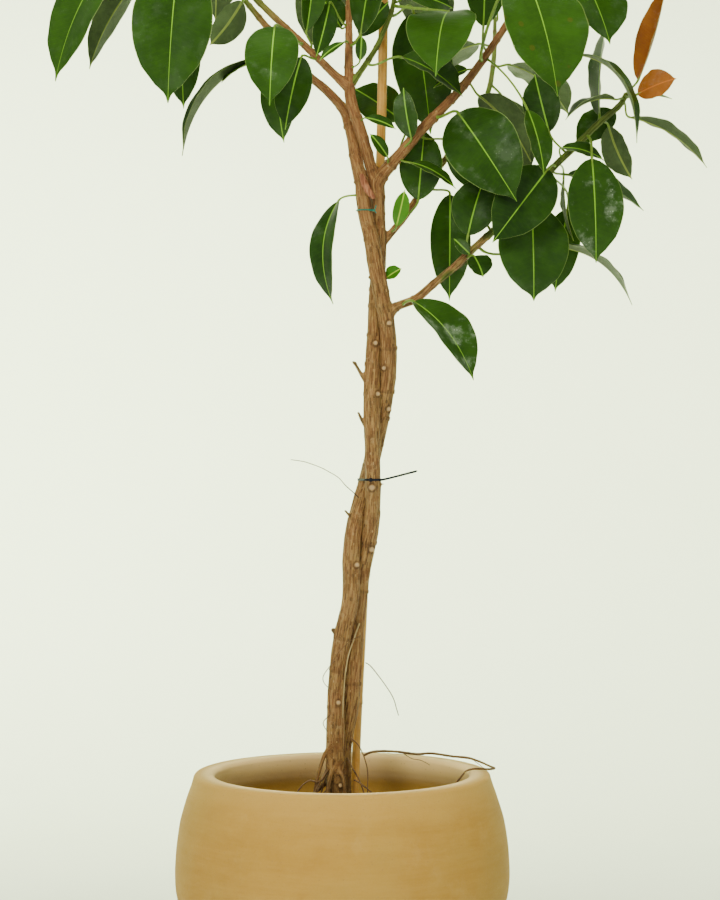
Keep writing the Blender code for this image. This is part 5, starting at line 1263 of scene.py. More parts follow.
def fine_pot_profile():
    lip_top = POT_HEIGHT - LIP_ROUNDING
    rows = 30
    bore = [POT_FLOOR + (lip_top - POT_FLOOR) * row / rows for row in range(rows + 1)]
    lip_outer, lip_inner = BELLY_RADIUS * POT_SIDE[-1][0], pot_bore(lip_top)
    arc = [math.radians(15 * step) for step in range(7)]
    cove = [
        (pot_bore(bore[0]) - 0.012 * (1 - math.sin(angle)), POT_FLOOR + 0.012 * (1 - math.cos(angle)))
        for angle in arc
    ]
    profile = [(0.0, POT_FLOOR)] + [(share * cove[0][0] / 6, POT_FLOOR) for share in range(1, 6)] + cove
    profile += [(pot_bore(height), height) for height in bore if height > POT_FLOOR + 0.013]
    profile += [
        (lip_inner + LIP_ROUNDING * (1 - math.cos(a)), lip_top + LIP_ROUNDING * math.sin(a)) for a in arc[1:]
    ]
    profile += [
        (lip_outer - LIP_ROUNDING * (1 - math.cos(a)), lip_top + LIP_ROUNDING * math.sin(a)) for a in arc[::-1]
    ]
    outside = [lip_top * (1 - row / 34) for row in range(1, 34)]
    profile += [(pot_side(height), height) for height in outside]
    foot = BELLY_RADIUS * POT_SIDE[0][0]
    profile += [(foot + 0.0005, 0.0035), (foot - 0.0012, 0.0010), (foot - 0.004, 0.0)]
    profile += [(foot * share / 6, 0.0) for share in (5.5, 5, 4, 3, 2, 1)] + [(0.0, 0.0)]
    return profile


def turned_mesh(profile, steps, wobble):
    """Vertices and faces of a profile turned about Z, its end points on the axis; wobble moves each point."""
    verts = [Vector((0, 0, profile[0][1])), Vector((0, 0, profile[-1][1]))]
    rings = profile[1:-1]
    for radius, height in rings:
        for step in range(steps):
            angle = 2 * math.pi * step / steps
            point = Vector((radius * math.cos(angle), radius * math.sin(angle), height))
            verts.append(wobble(point, radius, height))
    faces = []
    for step in range(steps):
        after = (step + 1) % steps
        faces.append((0, 2 + step, 2 + after))
        last = 2 + (len(rings) - 1) * steps
        faces.append((1, last + after, last + step))
        for ring in range(len(rings) - 1):
            base = 2 + ring * steps
            faces.append((base + step, base + steps + step, base + steps + after, base + after))
    return verts, faces


def make_pot():
    amount = sizes().pot_wobble

    def wobble(point, radius, height):
        if height < 0.001 or radius < 0.05:
            return point
        swell = noise.noise(Vector((point.x * 4, point.y * 4, height * 7))) * amount
        rings = math.sin(height * 2 * math.pi / 0.013 + 3 * noise.noise(point * 5)) * amount * 0.12
        out = Vector((point.x, point.y, 0)).normalized()
        lip = noise.noise(Vector((point.x * 9, point.y * 9, 4.0))) * amount * 0.6 if height > POT_HEIGHT * 0.95 else 0
        return point + out * (swell + rings) + Vector((0, 0, lip))

    verts, faces = turned_mesh(fine_pot_profile(), 168, wobble)
    piece = mesh_piece(
        "clay_pot", verts, faces, [material("Fired clay", paint_clay)], "pot_clay", ["pot"]
    )
    for number in range(DRAIN_HOLES):
        angle = math.radians(90 + 180 / POT_STEPS + 360 * number / DRAIN_HOLES)
        centre = (DRAIN_CIRCLE_RADIUS * math.cos(angle), DRAIN_CIRCLE_RADIUS * math.sin(angle), POT_FLOOR / 2)
        drill(piece, centre, DRAIN_HOLE_RADIUS, 3 * POT_FLOOR)
    return [piece]


def drill(piece, centre, radius, depth):
    """Cuts a round hole through a piece and applies the cut."""
    built = bmesh.new()
    bmesh.ops.create_cone(built, cap_ends=True, segments=40, radius1=radius, radius2=radius, depth=depth)
    mesh = bpy.data.meshes.new("hole_cutter")
    built.to_mesh(mesh)
    built.free()
    cutter = bpy.data.objects.new("hole_cutter", mesh)
    cutter.location = centre
    bpy.context.scene.collection.objects.link(cutter)
    cut = piece.modifiers.new("Hole", "BOOLEAN")
    cut.operation = "DIFFERENCE"
    cut.solver = "EXACT"
    cut.object = cutter
    apply_modifiers(piece)
    bpy.data.objects.remove(cutter, do_unlink=True)


def apply_modifiers(piece):
    bpy.context.view_layer.update()
    evaluated = piece.evaluated_get(bpy.context.evaluated_depsgraph_get())
    mesh = bpy.data.meshes.new_from_object(evaluated)
    piece.modifiers.clear()
    piece.data = mesh
    mesh.shade_smooth()


def soil_height(x, y):
    """The soil's lumpy surface."""
    relief = sizes().soil_relief
    place = Vector((x, y, 0))
    crown = SOIL_CROWN * (1 - spread(place.length, 0.0, 0.19))
    lumps = noise.noise(place * 28) * 0.5 + noise.noise(place * 75 + Vector((3, 1, 0))) * 0.3
    crumbs = noise.noise(place * 210 + Vector((7, 5, 0))) * 0.2
    return SOIL_TOP + crown - relief * 0.9 + relief * (lumps + crumbs)


def make_soil():
    steps, rings = 150, 46
    top_radius = pot_bore(SOIL_TOP) - 2 * GAP
    profile = [(0.0, 0.0)] + [(top_radius * ring / rings, 0.0) for ring in range(1, rings + 1)]
    heights = [SOIL_TOP - (SOIL_TOP - POT_FLOOR - GAP) * row / 10 for row in range(1, 11)]
    profile += [(pot_bore(height) - 0.0012, height) for height in heights]
    profile += [(0.0, POT_FLOOR + GAP)]

    def settle(point, radius, height):
        if height == 0.0:
            return Vector((point.x, point.y, soil_height(point.x, point.y)))
        return point

    verts, faces = turned_mesh(profile, steps, settle)
    verts[0].z = soil_height(0, 0)
    soil = mesh_piece(
        "soil_body", verts, faces, [material("Potting soil", paint_soil)], "potting_soil", ["potting_soil"]
    )
    flip_if_inside_out(soil)
    chips = scattered("bark_chips", 210, (0.003, 0.009), (1.0, 0.55, 0.3), paint_chip, "Bark chips", 11)
    grit = scattered("pale_grit", 110, (0.0012, 0.0028), (1.0, 0.85, 0.8), paint_grit, "Pale grit", 12)
    crumbs = scattered("soil_crumbs", 420, (0.0012, 0.0040), (1.0, 0.9, 0.7), paint_soil, "Potting soil", 13)
    return [soil, chips, grit, crumbs]


def flip_if_inside_out(piece):
    built = bmesh.new()
    built.from_mesh(piece.data)
    bmesh.ops.recalc_face_normals(built, faces=built.faces)
    built.to_mesh(piece.data)
    built.free()


def scattered(name, count, span, shape, paint, label, seed):
    """Small irregular lumps lying on the soil, as one piece."""
    rng = random.Random(seed)
    top_radius = pot_bore(SOIL_TOP) - 0.012
    verts, faces = [], []
    while count:
        angle, reach = rng.uniform(0, 2 * math.pi), top_radius * math.sqrt(rng.random())
        x, y = reach * math.cos(angle), reach * math.sin(angle)
        count -= 1
        if math.hypot(x - 0.003, y - 0.004) < 0.035:
            continue
        size = rng.uniform(*span)
        turn = Matrix.Rotation(rng.uniform(0, 6.28), 3, "Z") @ Matrix.Rotation(rng.uniform(-0.5, 0.5), 3, "X")
        centre = Vector((x, y, soil_height(x, y) + size * shape[2] * 0.35))
        offset = len(verts)
        built = bmesh.new()
        bmesh.ops.create_icosphere(built, subdivisions=2 if size > 0.003 else 1, radius=0.5)
        for vert in built.verts:
            bend = 1 + 0.35 * noise.noise(vert.co * 2.5 + Vector((offset * 0.37, 0, 0)))
            local = Vector([part * size * side * bend for part, side in zip(vert.co, shape)])
            verts.append(centre + turn @ local)
        faces += [tuple(vert.index + offset for vert in face.verts) for face in built.faces]
        built.free()
    return mesh_piece(name, verts, faces, [material(label, paint)], "potting_soil")


# Stems


def limb_knots(route, seed):
    """Distances along a route, in metres, where old leaf scars ring the bark."""
    rng = random.Random(seed)
    length = sum(math.dist(a[:3], b[:3]) for a, b in zip(route, route[1:])) * CM
    knots, place = [], 0.02
    while place < length:
        knots.append(place)
        place += rng.uniform(0.018, 0.045)
    return knots


def bark_tube(route, sides=20):
    return tube_parts([(*row[:3], row[3] + BARK_SWELL) for row in smooth(route, 0.5)], sides)


def centre_samples(routes_used):
    """Points along the centre lines with radius, distance, side and up directions and the route's name."""
    samples = []
    for name, route in routes_used:
        rows = smooth(route, 0.4)
        points = [lifted(*row[:3]) for row in rows]
        distance = 0.0
        for index, (row, point, frame_here) in enumerate(zip(rows, points, path_frames(points))):
            distance += (point - points[index - 1]).length if index else 0.0
            samples.append((point, row[3] * CM, distance, frame_here, name))
    return samples


def pruned_knobs(stem, routes):
    """Short pruned knobs on a stem's front: rows from inside the bark to the flat end."""
    other = routes["rear_stem" if stem == "front_stem" else "front_stem"]
    knobs = []
    for x, z, radius in SCARS:
        front = front_of_stems(routes, x, z)
        reach, depth, size = along_route(routes[stem], z)
        if abs(x - reach) >= size or front < depth - math.sqrt(size**2 - (x - reach) ** 2) - 0.05:
            continue
        knobs.append([(x, front + 0.4, z - 0.15, radius * 1.25), (x, front - KNOB_HEIGHT, z + 0.05, radius * 1.1)])
    return knobs


def make_bark_piece(name, stem, limbs, pegs, roots, routes, seed):
    """A stem with its limbs, skinned as one surface, with ridges, ring scars and pale pruning marks."""
    used = [(stem, routes[stem])] + [(limb, routes[limb]) for limb in limbs]
    parts = [bark_tube(route) for _, route in used]
    for start, end, start_radius, end_radius in pegs:
        rows = [(*start, start_radius * 1.25), (*end, end_radius * 1.15)]
        parts.append(tube_parts(smooth(rows, 0.3), 12))
    for root in roots:
        parts.append(tube_parts(smooth(root, 0.4), 12))
        used.append(("root", root))
    for limb in limbs:
        parts.append(collar(routes[limb]))
    knobs = pruned_knobs(stem, routes)
    parts += [tube_parts(smooth(rows, 0.15), 16) for rows in knobs]
    verts, faces, _ = joined(parts)
    piece = mesh_piece(name, verts, faces, [], "bark", [stem])
    skin = piece.modifiers.new("Skin", "REMESH")
    skin.mode = "VOXEL"
    skin.voxel_size = sizes().voxel * 1.0
    ease = piece.modifiers.new("Ease", "SMOOTH")
    ease.factor = 0.5
    ease.iterations = 3
    apply_modifiers(piece)
    cuts = [(*rows[-1][:3], rows[-1][3]) for rows in knobs]
    stubs = [(start, end, radius) for start, end, _, radius in pegs]
    dress_bark(piece.data, centre_samples(used), {name: limb_knots(route, seed) for name, route in used}, seed, cuts, stubs)
    piece.data.materials.append(material("Stem bark", paint_bark))
    return piece


def collar(route):
    """A short swelling where a limb leaves its stem."""
    x, y, z, radius = route[0]
    rows = smooth(route, 0.5)[:6]
    swollen = [(*row[:3], row[3] * (1.45 - 0.45 * spread(index, 1, 5))) for index, row in enumerate(rows)]
    return tube_parts(swollen, 16)


def dress_bark(mesh, samples, knots, seed, cuts, stubs):
    """Moves the skin's points for ridges and rings, and stores the grain and the marks of each point.

    The marks are how pale the point is from pruning, how green, and how dark.
    """
    tree = kdtree.KDTree(len(samples))
    for index, sample in enumerate(samples):
        tree.insert(sample[0], index)
    tree.balance()
    relief = sizes().bark_relief
    ends = [(lifted(*cut[:3]), cut[3] * CM) for cut in cuts]
    twigs = [(lifted(*start), lifted(*end), radius * CM) for start, end, radius in stubs]
    grain, marks = [], []
    normals = [vert.normal.copy() for vert in mesh.vertices]
    for vert, normal in zip(mesh.vertices, normals):
        point = vert.co.copy()
        near = min((((point - samples[index][0]).length - samples[index][1], index) for _, index, _ in tree.find_n(point, 5)))
        centre, radius, distance, (_, side, up), name = samples[near[1]]
        out = point - centre
        angle = math.atan2(out.dot(up), out.dot(side))
        cross = Vector((math.cos(angle) * radius, math.sin(angle) * radius, distance))
        grain.append(tuple(cross))
        streak = Vector((cross.x * 330, cross.y * 330, distance * 30 + seed))
        coarse = Vector((cross.x * 120, cross.y * 120, distance * 16 + seed))
        height = noise.noise(streak) * 0.6 + noise.noise(coarse) * 1.3 + 0.5 * noise.noise(point * 60)
        height -= 1.3 * spread(noise.noise(coarse * 1.7 + Vector((9, 2, 0))), 0.12, 0.5) * (radius > 0.008)
        ring = min((abs(distance - knot) for knot in knots.get(name, [])), default=1.0)
        height += 1.1 * math.exp(-((ring / 0.0016) ** 2)) * (radius < 0.011) + 0.5 * math.exp(-((ring / 0.0022) ** 2))
        reach = min(((point - place).length / size for place, size in ends), default=9.0)
        pale = 1 - spread(reach, 0.55, 0.95)
        shade = spread(reach, 0.8, 1.1) * (1 - spread(reach, 1.15, 1.8))
        vert.co = point + normal * height * (1 - pale) * relief * min(1.0, radius / 0.008)
        green = spread(GREEN_WOOD_RADIUS * CM - radius, 0.0, 0.0008) if name != "root" else 0.0
        if name == "low_limb":
            patches = spread(noise.noise(point * 45), -0.1, 0.25)
            green = max(green, patches * spread(distance, 0.055, 0.09), spread(distance, 0.20, 0.27))
        dark = math.exp(-((ring / 0.0011) ** 2)) * 0.3
        for start_at, end_at, size in twigs:
            share = min(max((point - start_at).dot(end_at - start_at) / (end_at - start_at).length_squared, 0.0), 1.2)
            off = (point - start_at.lerp(end_at, share)).length / size
            dark = max(dark, 0.75 * (1 - spread(off, 1.3, 2.0)) * spread(share, 0.3, 0.6))
        marks.append((pale * 0.95, green * 0.9, max(dark, shade * 0.7)))
    add_attributes(mesh, {"grain": grain, "marks": marks})


def make_stems():
    routes = all_routes()
    front = make_bark_piece("front_stem_bark", "front_stem", ["low_limb"], FRONT_STEM_PEGS, BRACE_ROOTS, routes, 3)
    limbs = ["left_fork", "left_limb", "thin_twig", "rear_limb"]
    rear = make_bark_piece("rear_stem_bark", "rear_stem", limbs, REAR_STEM_PEGS, [], routes, 4)
    return [front, rear]


# Cane


def make_cane():
    rows = smooth(CANE_ROUTE, 0.25)

    def shape(distance, angle, radius):
        height = CANE_ROUTE[0][2] + distance / CM
        near = min(abs(height - knot) for knot in CANE_NODES)
        side = height - min(CANE_NODES, key=lambda knot: abs(height - knot))
        ridge = 0.075 * math.exp(-((near / 0.16) ** 2)) + 0.035 * math.exp(-(((side - 0.45) / 0.3) ** 2))
        groove = -0.045 * math.exp(-(((side + 0.28) / 0.1) ** 2))
        flute = 0.004 * math.sin(angle * 9 + height * 0.03)
        return radius + (ridge + groove + flute) * CM

    verts, faces, grain = tube_parts(rows, 40, shape)
    marks = []
    for value in grain:
        height = CANE_ROUTE[0][2] + value[2] / CM
        side = height - min(CANE_NODES, key=lambda knot: abs(height - knot))
        marks.append((max(math.exp(-((side / 0.14) ** 2)), 0.6 * math.exp(-(((side + 0.35) / 0.3) ** 2))), 0.0, 0.0))
    cane = mesh_piece(
        "cane", verts, faces, [material("Bamboo", paint_bamboo)], "bamboo", ["bamboo_cane"],
        attributes={"grain": grain, "marks": marks},
    )
    return [cane, cane_bud()]


def cane_bud():
    """The trimmed side shoot at one of the cane's nodes."""
    x, y, radius = along_route(CANE_ROUTE, CANE_NODES[5])
    rows = [
        (x - radius * 0.7, y - radius * 0.7, CANE_NODES[5] + 0.1, 0.16),
        (x - radius * 0.95, y - radius * 1.0, CANE_NODES[5] + 0.55, 0.15),
        (x - radius * 1.0, y - radius * 1.1, CANE_NODES[5] + 0.9, 0.09),
    ]
    verts, faces, grain = tube_parts(smooth(rows, 0.15), 12)
    marks = [(0.35, 0.0, 0.0)] * len(verts)
    return mesh_piece(
        "cane_side_shoot", verts, faces, [material("Bamboo", paint_bamboo)], "bamboo",
        attributes={"grain": grain, "marks": marks},
    )


# Loose roots


def rough_root(rows, sides, step=0.3, seed=0, wander=0.0):
    """A root's tube with a knobbly skin; wander moves its centre line a little, in centimetres."""
    fine = []
    for index, (x, y, z, radius) in enumerate(smooth(rows, step)):
        shift = noise.noise_vector(Vector((index * step * 0.5, seed * 3.1, 0.0))) * wander
        fine.append((x + shift.x, y + shift.y, z + shift.z, radius))

    def shape(distance, angle, radius):
        knobs = noise.noise(Vector((math.cos(angle), math.sin(angle), distance * 260 + seed)))
        return radius * (1 + 0.22 * knobs)

    return tube_parts(fine, sides, shape)


def root_piece(name, sets, slot_name, replaced, paint, label):
    verts, faces, grain = joined(sets)
    return mesh_piece(name, verts, faces, [material(label, paint)], slot_name, replaced, attributes={"grain": grain})


def make_roots():
    routes = all_routes()
    bark = ("root", ["runner_root"], paint_root, "Root skin")
    pieces = [root_piece("runner", [rough_root(runner_rows(), 14, 0.25, 1), *runner_threads()], *bark)]
    clinging = [rough_root(clinging_rows(routes), 10, 0.3, 2)] + [
        rough_root(rows, 8, 0.3, 5 + number) for number, rows in enumerate(CLINGING_THREADS)
    ]
    pieces.append(root_piece("clinging", clinging, "root", ["clinging_root"], paint_pale_root, "Pale root skin"))
    hair = (paint_hair_root, "Hair root")
    pieces.append(
        root_piece("hair_root_upper", [rough_root(UPPER_AERIAL_ROOT, 8, 0.3, 3)], "root", ["aerial_root_upper"], *hair)
    )
    pieces.append(
        root_piece("hair_root_lower", [rough_root(LOWER_AERIAL_ROOT, 8, 0.3, 4)], "root", ["aerial_root_lower"], *hair)
    )
    fine = [rough_root(rows, 8, 0.3, 20 + number, 0.08) for number, rows in enumerate(FINE_ROOTS + foot_roots())]
    pieces.append(root_piece("fine_roots", fine, "root", [], paint_root, "Root skin"))
    return pieces


def foot_roots():
    """Thin roots that leave the stems just above the soil and spread over it, most of them to the left."""
    rng = random.Random(8)
    roots = []
    for _ in range(FOOT_ROOTS):
        angle = math.radians(rng.gauss(205, 62))
        top, reach, thick = rng.uniform(27.5, 34.5), rng.uniform(2.6, 6.2), rng.uniform(0.05, 0.13)
        side = Vector((math.cos(angle), math.sin(angle), 0))
        bend = Vector((-side.y, side.x, 0)) * rng.uniform(-1.0, 1.0)
        start = Vector((-0.3, -0.6, top)) + side * 0.9
        middle = start + side * (reach * 0.45) + bend * 0.5 + Vector((0, 0, -(top - 26.6) * 0.35))
        end = Vector((start.x, start.y, 26.2)) + side * reach + bend
        knee = (middle + end) / 2 + Vector((0, 0, 0.4))
        roots.append([(*start, thick * 1.3), (*middle, thick), (*knee, thick * 0.9), (*end, thick * 0.7)])
    return roots


def runner_threads():
    """Thin side threads on the runner where it loops over the rim."""
    return [rough_root(rows, 7, 0.25, 30 + number, 0.05) for number, rows in enumerate(RUNNER_THREADS)]


# Ties


def hull(points):
    """The convex outline round flat points, counterclockwise."""
    points = sorted(points)

    def half(run):
        line = []
        for x, y in run:
            while len(line) > 1 and cross(line[-2], line[-1], (x, y)) <= 0:
                line.pop()
            line.append((x, y))
        return line[:-1]

    return half(points) + half(points[::-1])


def cross(origin, one, two):
    return (one[0] - origin[0]) * (two[1] - origin[1]) - (one[1] - origin[1]) * (two[0] - origin[0])


def loop_round(circles, clearance, step):
    """The outline of a tight loop round circles of x, y and radius, with a corner every step degrees."""
    angles = [math.radians(angle) for angle in range(0, 360, step)]
    reach = clearance / math.cos(math.radians(step / 2))
    return hull(
        [
            (x + (radius + reach) * math.cos(angle), y + (radius + reach) * math.sin(angle))
            for x, y, radius in circles
            for angle in angles
        ]
    )


def carried_frames(path, middle, faces, first=None):
    """The forward and sideways directions along a path, the sideways one carried on from its middle."""
    count = len(path)
    ahead = [(path[min(i + 1, count - 1)] - path[max(i - 1, 0)]).normalized() for i in range(count)]
    ahead[0] = first or ahead[0]
    side = [None] * count
    side[middle] = ahead[middle].cross(Vector(faces)).normalized()
    for i in list(range(middle + 1, count)) + list(range(middle - 1, -1, -1)):
        last = side[i - 1] if i > middle else side[i + 1]
        side[i] = (last - last.dot(ahead[i]) * ahead[i]).normalized()
    return ahead, side


def band_mesh(outline, height, profile):
    """A closed band: a profile of (outward, up) in centimetres swept round a flat outline."""
    count = len(outline)
    verts, faces = [], []
    for index, (x, y) in enumerate(outline):
        before, after = outline[index - 1], outline[(index + 1) % count]
        along = Vector((after[0] - before[0], after[1] - before[1], 0)).normalized()
        out = Vector((along.y, -along.x, 0))
        for outward, up in profile:
            verts.append(lifted(x + out.x * outward, y + out.y * outward, height + up))
    size = len(profile)
    for index in range(count):
        for corner in range(size):
            after, beside = (index + 1) % count, (corner + 1) % size
            faces.append((index * size + corner, after * size + corner, after * size + beside, index * size + beside))
    return verts, faces, [(0.0, 0.0, 0.0)] * len(verts)


def round_profile(radius, corners=12):
    return [
        (radius * math.cos(2 * math.pi * corner / corners), radius * math.sin(2 * math.pi * corner / corners))
        for corner in range(corners)
    ]


def make_ties():
    routes = all_routes()
    return [wire_tie(routes), cable_tie(routes), dry_sheath()]


def wire_tie(routes):
    height = WIRE_TIE_HEIGHT
    x, y, radius = along_route(routes["front_stem"], height)
    outline = loop_round([(x, y, radius + TIE_EASE / 2)], WIRE_TIE_RADIUS + GAP / CM, 6)
    knot_x = x + radius * WIRE_KNOT_SIDE
    knot_y = y - radius * WIRE_KNOT_FRONT - WIRE_TIE_RADIUS
    twisted = []
    for phase in (0, math.pi):
        rows = []
        for step in range(40):
            share = step / 39
            turn = phase + share * 5 * math.pi
            reach = 0.085 * (1 - 0.3 * share)
            rows.append(
                (knot_x + share * 0.75 + reach * math.cos(turn) * 0.5,
                 knot_y - share * 0.45 - reach * math.cos(turn) * 0.6,
                 height + reach * math.sin(turn) - share * 0.1, 0.07)
            )
        tail = 0.55 if phase else -0.5
        rows.append((knot_x + 1.0, knot_y - 0.6, height + tail, 0.07))
        twisted.append(tube_parts(rows, 8))
    verts, faces, _ = joined([band_mesh(outline, height, round_profile(WIRE_TIE_RADIUS)), *twisted])
    piece = mesh_piece(
        "wire_tie", verts, faces, [material("Coated wire", paint_wire)], "green_wire", ["green_wire_tie"]
    )
    flip_if_inside_out(piece)
    return piece


def cable_tie(routes):
    """A ridged strap with its square head and its long cut tail."""
    height = CABLE_TIE_HEIGHT
    circles = [along_route(route, height) for route in (routes["front_stem"], routes["rear_stem"], CANE_ROUTE)]
    outline = loop_round(
        [(x, y, radius + TIE_EASE) for x, y, radius in circles], CABLE_TIE_THICKNESS / 2 + GAP / CM, 5
    )
    half, thick = CABLE_TIE_WIDTH / 2, CABLE_TIE_THICKNESS / 2
    profile = [(-thick, -half * 0.85), (thick * 0.7, -half), (thick, -half * 0.8), (thick, -half * 0.5),
               (thick * 0.55, -half * 0.42), (thick * 0.55, half * 0.42), (thick, half * 0.5), (thick, half * 0.8),
               (thick * 0.7, half), (-thick, half * 0.85)]
    front = min(outline, key=lambda point: point[1])
    across, forward = CABLE_TIE_HEAD_SHIFT
    head_at = lifted(front[0] + across, front[1] + forward, height)
    right = (*max(outline, key=lambda point: point[0] - point[1]), height)
    bends = [[a + b for a, b in zip(right, shift)] for shift in (CABLE_TIE_TAIL_START, CABLE_TIE_TAIL_BEND)]
    tail = smooth([*bends, CABLE_TIE_TAIL_END], 0.12)
    parts = [band_mesh(outline, height, profile), strap_run(tail), strap_head(head_at)]
    verts, faces, _ = joined(parts)
    piece = mesh_piece(
        "cable_tie", verts, faces, [material("Black strap", paint_strap)], "black_plastic", ["black_cable_tie"]
    )
    flip_if_inside_out(piece)
    return piece


def strap_run(rows):
    """The free end of the strap, with fine teeth on one face and a pointed tip."""
    points = [lifted(*row) for row in rows]
    verts, faces = [], []
    count = len(points)
    for index, (point, (_, side, up)) in enumerate(zip(points, path_frames(points))):
        narrowing = 1 - 0.6 * spread(index / (count - 1), 0.93, 1.0)
        half = CABLE_TIE_WIDTH / 2 * CM * narrowing
        thick = CABLE_TIE_THICKNESS / 2 * CM
        tooth = thick * (1.0 if index % 2 else 0.72)
        flat = Vector((side.x, side.y, 0)).normalized()
        for across, out in ((-1, -thick), (1, -thick), (1, tooth), (-1, tooth)):
            verts.append(point + Vector((0, 0, half * across)) + flat * out)
    for index in range(count - 1):
        base = index * 4
        for corner in range(4):
            after = (corner + 1) % 4
            faces.append((base + corner, base + after, base + 4 + after, base + 4 + corner))
    faces.append((3, 2, 1, 0))
    last = (count - 1) * 4
    faces.append((last, last + 1, last + 2, last + 3))
    return verts, faces, [(0.0, 0.0, 0.0)] * len(verts)


def strap_head(centre):
    """The tie's head: a rounded block with a shallow window for the strap."""
    built = bmesh.new()
    bmesh.ops.create_cube(built, size=1.0)
    bmesh.ops.scale(built, vec=[size * CM for size in CABLE_TIE_HEAD], verts=built.verts)
    front = [face for face in built.faces if face.normal.y < -0.5]
    inner = bmesh.ops.inset_region(built, faces=front, thickness=0.0009)
    bmesh.ops.translate(built, vec=(0, 0.0007, 0), verts=[vert for face in front for vert in face.verts])
    edges = [edge for edge in built.edges if edge.calc_length() > 0.002]
    bmesh.ops.bevel(built, geom=edges, offset=0.0003, segments=2, affect="EDGES")
    verts = [centre + vert.co for vert in built.verts]
    built.verts.index_update()
    faces = [tuple(vert.index for vert in face.verts) for face in built.faces]
    built.free()
    return verts, faces, [(0.0, 0.0, 0.0)] * len(verts)


def dry_sheath():
    """A dry, curled strip with a torn edge."""
    rows = smooth(SHEATH_ROUTE, 0.15)
    path = [Vector(row) for row in rows]
    ahead, side = carried_frames(path, len(path) // 2, (0.2, -1.0, 0.1))
    verts, faces = [], []
    columns = 9
    for layer in (1, -1):
        for row, point in enumerate(path):
            share = row / (len(path) - 1)
            half = SHEATH_WIDTH / 2 * math.sin(math.pi * (0.15 + 0.7 * share))
            up = side[row].cross(ahead[row])
            for column in range(columns):
                u = 2 * column / (columns - 1) - 1
                torn = 1 + 0.18 * noise.noise(Vector((u * 3, share * 9, 2.0)))
                curl = up * (-0.5 * half * u * u + 0.03 * layer + 0.05 * noise.noise(Vector((u * 2, share * 6, 5))))
                verts.append(lifted(*(point + side[row] * u * half * torn + curl)))
    layer_size = len(path) * columns
    for row in range(len(path) - 1):
        for column in range(columns - 1):
            a = row * columns + column
            quad = (a, a + 1, a + columns + 1, a + columns)
            faces.append(quad)
            faces.append(tuple(index + layer_size for index in reversed(quad)))
    faces += rim_faces(len(path), columns, layer_size)
    return mesh_piece(
        "dry_sheath", verts, faces, [material("Dry sheath", paint_sheath)], "dry_sheath", ["dry_leaf_sheath"]
    )


def rim_faces(rows, columns, layer_size):
    """The narrow faces that join an upper and a lower grid all the way round."""
    ring = [column for column in range(columns)]
    ring += [row * columns + columns - 1 for row in range(1, rows)]
    ring += [(rows - 1) * columns + column for column in range(columns - 2, -1, -1)]
    ring += [row * columns for row in range(rows - 2, 0, -1)]
    return [
        (start, start + layer_size, end + layer_size, end) for start, end in zip(ring, ring[1:] + ring[:1])
    ]


# Leaves


def stalk_start(route, height, base):
    """Where a leaf's stalk begins, a little inside its stem's bark, and which way it first points."""
    if height >= route[-1][2]:
        end = Vector(route[-1][:3])
        ahead = (end - Vector(route[-2][:3])).normalized()
        return end - ahead * 0.1, ahead
    x, y, radius = along_route(route, height)
    middle = Vector((x, y, height))
    ahead = heading(route, height)
    out = Vector(base) - middle
    out = (out - out.dot(ahead) * ahead).normalized()
    return middle + out * radius * 0.75, out


def blade_half_width(share, width):
    """Half the blade's width at a share of its length: oval, with a drawn-out drip tip."""
    round_part = max(math.sin(math.pi * min(share, 1.0) ** LEAF_FULLNESS_AT), 0.0) ** LEAF_ROUNDNESS
    drip = 1.0 - 0.45 * max(share - 0.78, 0.0) / 0.22
    slender = 1.0 - 0.55 * spread(share, 0.88, 0.965)
    return max(width / 2 * round_part * drip * slender, 0.045)


LEAF_COLUMNS = (-1.0, -0.965, -0.86, -0.70, -0.50, -0.31, -0.16, -0.07, -0.028, 0.0,
                0.028, 0.07, 0.16, 0.31, 0.50, 0.70, 0.86, 0.965, 1.0)


